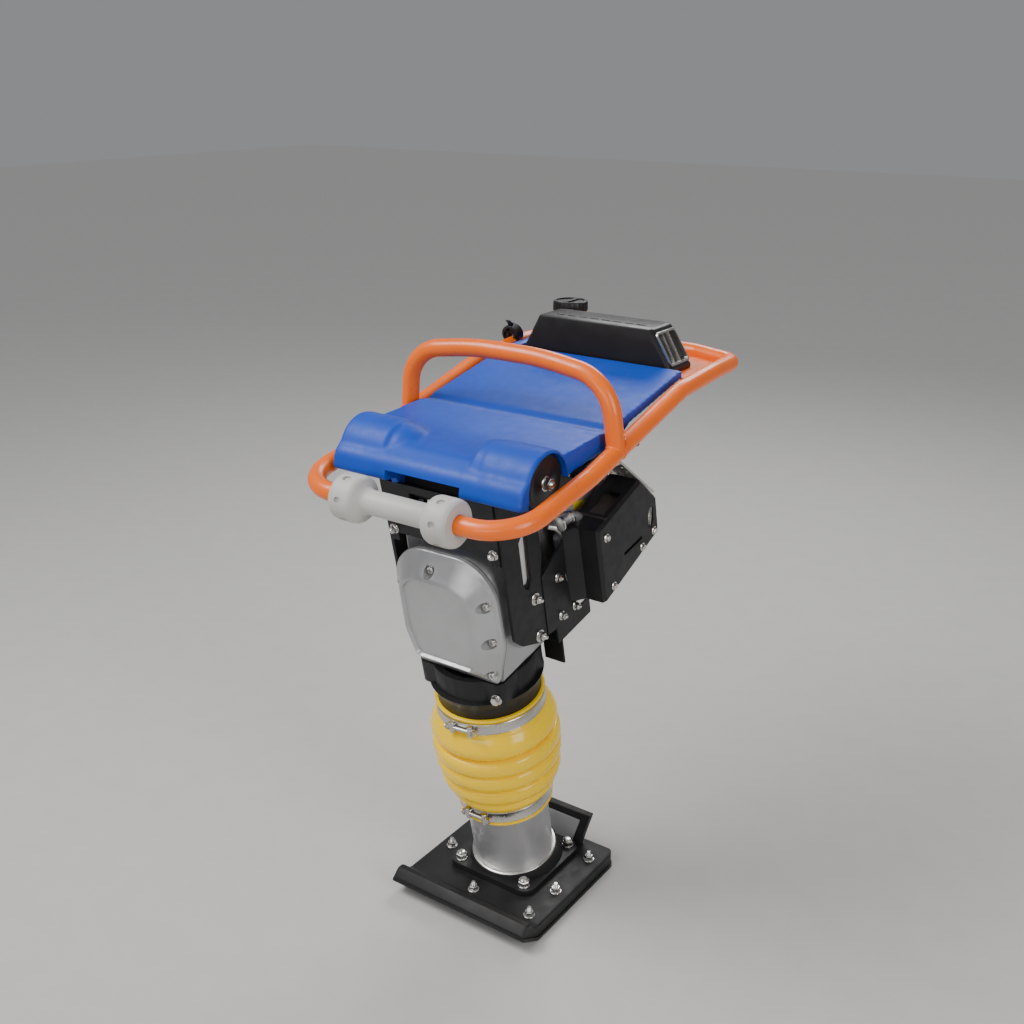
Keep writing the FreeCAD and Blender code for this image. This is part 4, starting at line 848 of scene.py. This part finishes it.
def melt(name, shapes, material, voxel, rounds, factor=0.5):
    """Closed shapes run together into one skin and softened, as a hollow moulding comes out."""
    item = make(name, joined(*shapes), material)
    remesh = item.modifiers.new("Voxels", "REMESH")
    remesh.mode = "VOXEL"
    remesh.voxel_size = voxel * MM
    remesh.adaptivity = 0.0
    soften = item.modifiers.new("Soften", "SMOOTH")
    soften.factor = factor
    soften.iterations = rounds
    settle(item)
    return item


def x_rod(radius, low, high, y, z, steps=64, crown=0.0):
    """A bar along X, its ends a little crowned."""
    profile = [(0, low), (radius - crown, low), (radius, low + crown),
               (radius, high - crown), (radius - crown, high), (0, high)]
    return placed(disc(profile, steps), Matrix.Translation((0, y, z)) @ ALONG_X)


def extruded(outline, low, high):
    """A closed outline in y and z, run along X."""
    return stack([[(x, y, z) for y, z in outline] for x in (low, high)])


def tank_forms():
    """The closed shapes that melt into the tank: the lid, the noses, their necks, the hump and a wing."""
    crease = -8
    lid = rounded([(-252, 847, 6), (-244, 880, 26), (-212, 900, 40), (-178, 905.5, 60),
                   (crease - 20, 915, 26), (crease + 4, 910.5, 9), (crease + 16, 917.5, 12),
                   (239, 963, 5), (239, 948, 3), (60, 909.5, 20), (20, 885, 20),
                   (-110, 873, 10), (-226, 847, 6)], 8)
    noses = [x_rod(radius, low, high, NOSE_Y, NOSE_Z, crown=2.5)
             for radius, low, high in ((57.6, 92, 183.4), (57.6, -183.4, -92), (55.5, 73, 120))]
    ridge = disc([(0, -94), (55, -94), (52.5, -78), (44, -58), (36, -48), (0, -46)], 56)
    neck = placed(ridge, Matrix.Translation((0, NOSE_Y + 1, NOSE_Z - 1)) @ ALONG_X)
    hump_low = rounded([(-183, 328, 6), (-58, 328, 10), (-58, 388, 12), (-150, 388, 14), (-183, 370, 14)], 5)
    hump_high = rounded([(-160, 333, 8), (-68, 333, 8), (-68, 384, 10), (-140, 384, 12), (-160, 372, 12)], 5)
    levels = ((hump_low, 951), (hump_low, 960), (hump_high, 1003))
    hump = stack([[(a, b, z) for a, b in outline] for outline, z in levels])
    wing = extruded([(228, 949), (372, 950), (372, 964), (228, 962)], -183, -161)
    return [extruded(lid, -183, 183), *noses, neck, hump, wing]


def tank_cutters():
    """What is cut from the tank: a room for each isolator, clear air below it, and the raised middle lip."""
    y, z = NOSE_Y, NOSE_Z
    below = [(y - 90, 700), (y + 52, 700), (y + 52, z), (y - 52, z), (y - 52, 846), (y - 90, 846)]
    behind = [(y + 8, 815), (y + 103, 813), (y + 101, 871.3), (y + 38, 869.6)]
    cutters = []
    for side in (-1, 1):
        cutters.append(x_rod(52, *sorted((side * 100, side * 200)), y, z))
        cutters.append(extruded(below, *sorted((side * 84, side * 200))))
        cutters.append(extruded(behind, *sorted((side * 97.3, side * 206))))
    lip = [(y - 110, 790), (y + 30, 790), (y + 30, 868), (y - 48, 865), (y - 110, 865)]
    cutters.append(extruded(lip, -74, 71))
    cutters.append(extruded([(y - 90, 700), (y + 52, 700), (y + 52, 846), (y - 90, 846)], 69, 86))
    return cutters


def tank():
    """The blue tank: a sloping lid, a rolled front edge and a round nose over each isolator."""
    item = melt("tank_shell", tank_forms(), BLUE, 3.0, 9)
    carve(item, tank_cutters(), 38)
    place(item, "handle", "blue_plastic", "fuel_tank")

    # A dark sheet behind the lip, which stands for the shade seen there.
    near, far = NOSE_Y - 24, NOSE_Y - 20
    shade_sheet = extruded([(near, 812), (far, 812), (far, 874), (near, 874)], -90, 90)
    place(make("tank_shade_sheet", shade_sheet, RUBBER, smooth=30), "handle", "black_rubber")
    ring = lathe([(24, 992), (34.5, 992), (35.5, 993.5), (35.5, 1005),
                  (34.5, 1007), (33.5, 1012.2), (24, 1012.2)], 72)
    neck = make("filler_neck", placed(ring, Matrix.Translation((CAP_X, CAP_Y, 0))), CREAM, smooth=45)
    place(neck, "handle", "blue_plastic")


def fuel_cap():
    """A broad black cap with grip flutes and a turning bar on its top."""
    layers = []
    count = 120
    for z, radius, flute in ((1012.5, 31.2, 0), (1013.4, 32.6, 0.2), (1014.6, 33.4, 0.9), (1029.3, 33.0, 0.9),
                             (1031.2, 32.0, 0.3), (1032.2, 30.4, 0), (1032.3, 27.0, 0), (1029.8, 25.6, 0)):
        ring = []
        for k in range(count):
            t = 2 * math.pi * k / count
            r = radius - flute * (0.5 + 0.5 * math.cos(30 * t)) * 1.3
            ring.append((CAP_X + r * math.cos(t), CAP_Y + r * math.sin(t), z))
        layers.append(ring)
    bar_outline = rounded([(CAP_X + a, CAP_Y + b, 3) for a, b in
                           ((-4.5, -24.5), (4.5, -24.5), (4.5, 24.5), (-4.5, 24.5))], 4)
    bar = stack([[(a, b, z) for a, b in bar_outline] for z in (1029, 1032.4)])
    item = make("tank_cap_top", joined(stack(layers), bar), PLASTIC, smooth=32)
    place(item, "tank_cap", "black_plastic", "fuel_cap")


# ---------------------------------------------------------------- air cleaner

def box_rings(levels, radius):
    """Rings of a tapering box; each level is x0, x1, y0, y1 and z."""
    rings = []
    for x0, x1, y0, y1, z in levels:
        corners = [(x0, y0, radius), (x1, y0, radius), (x1, y1, radius), (x0, y1, radius)]
        rings.append([(a, b, z) for a, b in rounded(corners, 5)])
    return rings


def end_face(y, z, out):
    """A point on the air cleaner's sloping right end, moved outward a little."""
    return (158 - (z - 957) * 0.575 + out, y, z)


def air_cleaner_highlight_edging():
    """A bright metal frame round the recess in the right end, with two bars across it: painted highlight,
    standing for the bright edges of the black case's end.
    """
    outer = rounded([(249.8, 961.4, 5), (319.2, 961.4, 5), (313.2, 1016.6, 7), (246.9, 1016.6, 7)], 4)
    inner = rounded([(253.4, 964.6, 4), (315.6, 964.6, 4), (310, 1013.4, 5), (250.6, 1013.4, 5)], 4)
    levels = ((outer, -6.8), (outer, 0.3), (inner, 0.3), (inner, -6.8))
    verts, faces = stack([[end_face(y, z, d) for y, z in outline] for outline, d in levels], closed=False)
    count = len(outer)
    faces += [(i, 3 * count + i, 3 * count + (i + 1) % count, (i + 1) % count) for i in range(count)]
    parts = [(verts, faces)]
    section = ((-2.2, -6.8), (2.2, -6.8), (1.2, -0.6), (-1.2, -0.6))
    for y in (268, 289):
        parts.append(stack([[end_face(y + dy, z, d) for dy, d in section] for z in (964, 1014)]))
    place(make("air_cleaner_highlight_edging", joined(*parts), BAND, smooth=30), "handle", "black_plastic")


def air_cleaner_latches():
    """The two flat clips on the rear face."""
    latches = []
    for x in (-70, 62):
        clip = rounded([(x - 15, 0, 3), (x + 15, 0, 3), (x + 13, 26, 4), (x - 13, 26, 4)], 4)
        latches.append(stack([[(a, 323.2 - b * 0.082 + d, 962 + b) for a, b in clip] for d in (-0.6, 0.4)]))
    place(make("air_cleaner_latches", joined(*latches), PLASTIC, smooth=28), "handle", "black_plastic")


def air_cleaner():
    """A black tapering case with a lipped base, a ribbed top and a recess at its right end edged in bright
    metal, which is painted highlight on the black case's edges.
    """
    levels = [(-157.5, 157.5, 245.2, 323.8, 948.3), (-158, 158, 245, 324, 949.5),
              (-158, 158, 245, 324, 955.5), (-156.6, 156.6, 245.2, 323.4, 957),
              (-154.2, 154.2, 245.0, 322.6, 959.5),
              (-119.6, 119.6, 240.6, 318.4, 1020), (-117.2, 117.2, 241.8, 317.0, 1022.6),
              (-113.5, 113.5, 244.6, 314.2, 1023.8)]
    case = make("air_cleaner_case", stack(box_rings(levels, 9)), PLASTIC, smooth=28)
    opening = rounded([(249.5, 961, 5), (319.5, 961, 5), (313.5, 1017, 7), (246.5, 1017, 7)], 4)
    recess = stack([[end_face(y, z, d) for y, z in opening] for d in (-7, 14)])
    grooves = []
    for x in range(-84, 97, 24):
        groove = rounded([(x - 9, 262, 2.4), (x + 9, 262, 2.4), (x + 9, 267, 2.4), (x - 9, 267, 2.4)], 4)
        grooves.append(stack([[(a, b, z) for a, b in groove] for z in (1021.6, 1030)]))
    carve(case, [recess, *grooves], 30)
    bevel_on(case, 0.6, 2, 34)
    place(case, "handle", "black_plastic", "air_cleaner")
    air_cleaner_highlight_edging()
    air_cleaner_latches()


# The throttle lever's pivot, along X over the left rail.
PIVOT_Y, PIVOT_Z = 288, 973


def throttle():
    """A curved black lever that turns in a small fork on the left rail."""
    pivot = Matrix.Translation((0, PIVOT_Y, PIVOT_Z)) @ ALONG_X
    front, back = [], []
    for k in range(13):
        t = k / 12
        y = PIVOT_Y - 3 * t - 14 * t * t
        front.append((y - 5.2 + 1.5 * t, 974 + 24.5 * t))
        back.append((y + 5.2 - 2.4 * t, 974 + 23 * t))
    hub = placed(disc([(0, -213), (5.4, -213), (6, -212.4), (6, -203.6), (5.4, -203), (0, -203)], 28), pivot)
    blade = extruded(front + back[::-1], -212, -204)
    item = make("throttle_paddle", joined(blade, hub), PLASTIC, smooth=30, bevel=0.7)
    place(item, "throttle", "black_plastic", "throttle_lever")

    slope = Vector((0, 1, SLOPE)).normalized()
    at = rail(PIVOT_Y)
    at.x = -HALF
    turn = Vector((0, 0, 1)).rotation_difference(slope).to_matrix().to_4x4()
    strap = lathe([(15.1, -9), (18.6, -9), (19.4, -8.2), (19.4, 8.2), (18.6, 9), (15.1, 9)], 56)
    parts = [placed(strap, Matrix.Translation(at) @ turn)]
    arc = [math.pi * k / 10 for k in range(1, 10)]
    round_top = [(PIVOT_Y + 6 * math.cos(a), PIVOT_Z + 6 * math.sin(a)) for a in arc]
    cheek = [(280, 962), (296, 962), (294, PIVOT_Z)] + round_top + [(282, PIVOT_Z)]
    for x in (-216.4, -199.6):
        parts.append(extruded(cheek, x - 3, x + 3))
    parts.append(placed(disc([(0, -221), (2.6, -221), (2.6, -195), (0, -195)], 20), pivot))
    fork = make("throttle_fork", joined(*parts), PLASTIC, smooth=32, bevel=0.4)
    place(fork, "handle", "black_plastic", "throttle_clamp")


# ---------------------------------------------------------------- isolators and engine dress

def isolator_heads():
    """A dished washer and a long bolt with its nut in the middle of each isolator."""
    dish = disc([(0, 0), (44, 0), (44.6, 0.8), (44.6, 3.4), (43.4, 4.6), (40.5, 4.8),
                 (37, 3.2), (22, 2.6), (18, 4.2), (0, 4.4)], 72)
    dishes, bolts = [], []
    for side, face in ((-1, "-x"), (1, "+x")):
        dishes.append(placed(dish, facing(face, (side * 169.1, ISO_T, ISO_S))))
        bolts.append(placed(hex_bolt(18, 9, 12, 4.5), facing(face, (side * 173.3, ISO_T, ISO_S), 0.5)))
    place(make("isolator_dishes", joined(*dishes), PLASTIC, leg=True, smooth=26), "handle", "black_plastic")
    item = make("isolator_bolt_set", joined(*bolts), ZINC, leg=True, smooth=26)
    place(item, "handle", "zinc_steel", "isolator_bolts")


def rounded_plate(corners, steps, low, high):
    """A plate across X whose outline has rounded corners."""
    return extruded(rounded(corners, steps), low, high)


def shroud_marks():
    """The plain yellow badge and the black panel on the silver shroud."""
    badge = rounded_plate([(172, 684, 2), (204, 674, 2), (207, 688, 2), (175, 698, 2)], 3, 96.1, 97.3)
    place(make("plain_badge", badge, LABEL, leg=True, smooth=30), "upper_unit", "silver_paint")
    panel = rounded_plate([(170, 706, 3), (212, 693, 3), (218, 726, 4), (176, 740, 4)], 3, 95.9, 97)
    place(make("shroud_panel", panel, PLASTIC, leg=True, smooth=30, bevel=0.4), "upper_unit", "black_plastic")


def engine_fittings():
    """Screws, two pipes, a flange and a cylinder head between the right arm and the guard."""
    screws = ((134, 716), (262, 700), (262, 764))
    bits = [placed(hex_bolt(8, 4, 6), facing("+x", (103, t, s))) for t, s in screws]
    fuel_pipe = [(108, 128, 640), (112, 132, 668), (113, 150, 678), (112, 176, 676), (108, 200, 672)]
    breather = [(106, 116, 652), (110, 112, 676), (106, 104, 690), (96, 96, 694)]
    for route, bends, radius in ((fuel_pipe, [10, 14, 14], 4.2), (breather, [10, 10], 5.5)):
        bits.append(tube(rounded_path([Vector(p) for p in route], bends, 6), radius, 16))
    for k, (t, s) in enumerate(((140, 672), (150, 676), (118, 662), (126, 690))):
        bits.append(placed(hex_bolt(10, 6, 7, 4), facing("+x", (104, t, s), k)))
    bits.append(rounded_plate([(112, 640, 8), (158, 646, 10), (196, 660, 8), (196, 672, 4),
                               (150, 674, 8), (110, 666, 8)], 4, 92, 108))
    bits.append(rounded_plate([(150, 566, 8), (196, 574, 8), (196, 590, 4), (150, 590, 4)], 4, 96, 128))
    item = make("engine_fittings", joined(*bits), ALLOY, leg=True, smooth=30, bevel=0.8)
    place(item, "upper_unit", "bare_alloy")


def slot_backings():
    """Pale plates behind the arms' slots, standing for the silver part there, with its brightness painted as
    sheen in their near-matt colour; and a dark block that closes the guard's slot.
    """
    corners = [(-30, 640, 6), (30, 640, 6), (26, 742, 8), (-26, 742, 8)]
    sheen_backings = [rounded_plate(corners, 4, x - 1, x + 1) for x in (-104, 104)]
    item = make("arm_slot_sheen_plates", joined(*sheen_backings), PAINTED_SHEEN, leg=True, smooth=30)
    place(item, "upper_unit", "bare_alloy")
    liner = extruded([(150, 680), (238, 680), (238, 696), (150, 696)], 121, 173)
    place(make("guard_liner", liner, IRON, leg=True, smooth=30, bevel=0.5), "upper_unit", "black_paint")


def exhaust():
    """The bent header pipe and its two collars."""
    header = [Vector(p) for p in ((112, 104, 700), (118, 128, 702), (124, 146, 690), (122, 152, 668))]
    pipe = tube(rounded_path(header, [20, 18], 8), 10, 28)
    place(make("exhaust_header", pipe, ALLOY, leg=True, smooth=50), "upper_unit", "bare_alloy")
    collar = disc([(0, -3), (13, -3), (13.8, -2), (13.8, 2), (13, 3), (0, 3)], 28)
    for number, (t, s) in enumerate(((104, 700), (124, 702))):
        at = Matrix.Translation((114 + 4 * number, t, s)) @ facing("+y", (0, 0, 0))
        item = make(f"header_collar_{number}", placed(collar, at), ZINC, leg=True, smooth=30)
        place(item, "upper_unit", "zinc_steel")


def guard_grille():
    """Woven wires over a thin backing, cut to the outline of the guard's oval window."""
    wires = []
    for k in range(-6, 7):
        middle = 286 + k * 3.2
        for lean in (-1, 1):
            ends = [Vector((174.2, middle - 9 * lean, 608)), Vector((174.2, middle + 9 * lean, 650))]
            wires.append(tube(ends, 0.55, 6))
    backing = rounded_plate([(273, 604, 9), (299, 608, 9), (301, 652, 9), (276, 650, 9)], 4, 171.4, 172.2)
    grille = make("guard_grille", joined(backing, *wires), MESH, leg=True, smooth=40)
    window = rounded_plate([(274, 607, 10), (295, 609, 10), (299, 649, 10), (278, 647, 10)], 4, 165, 178)
    keeper = make("grille_keeper", leg_shape(window), MESH)
    trim = grille.modifiers.new("Keep", "BOOLEAN")
    trim.operation = "INTERSECT"
    trim.object = keeper
    trim.solver = "FAST"
    settle(grille)
    bpy.data.objects.remove(keeper)
    place(grille, "upper_unit", "zinc_steel")


photo_camera()
floor_and_world()
lights()
dress_kept()
shoe_deck()
heel_tongue()
foot_hardware()
bellows()
springs()
clamp_set("lower_clamp_set", 85, 157, 180, 0, "foot", "lower_clamp")
clamp_set("upper_clamp_set", 95, 369, 391, 5, "upper_unit", "upper_clamp")
cover()
outside_bolts()
handle()
weld_beads()
roller()
tank()
fuel_cap()
air_cleaner()
throttle()
isolator_heads()
shroud_marks()
engine_fittings()
slot_backings()
exhaust()
guard_grille()
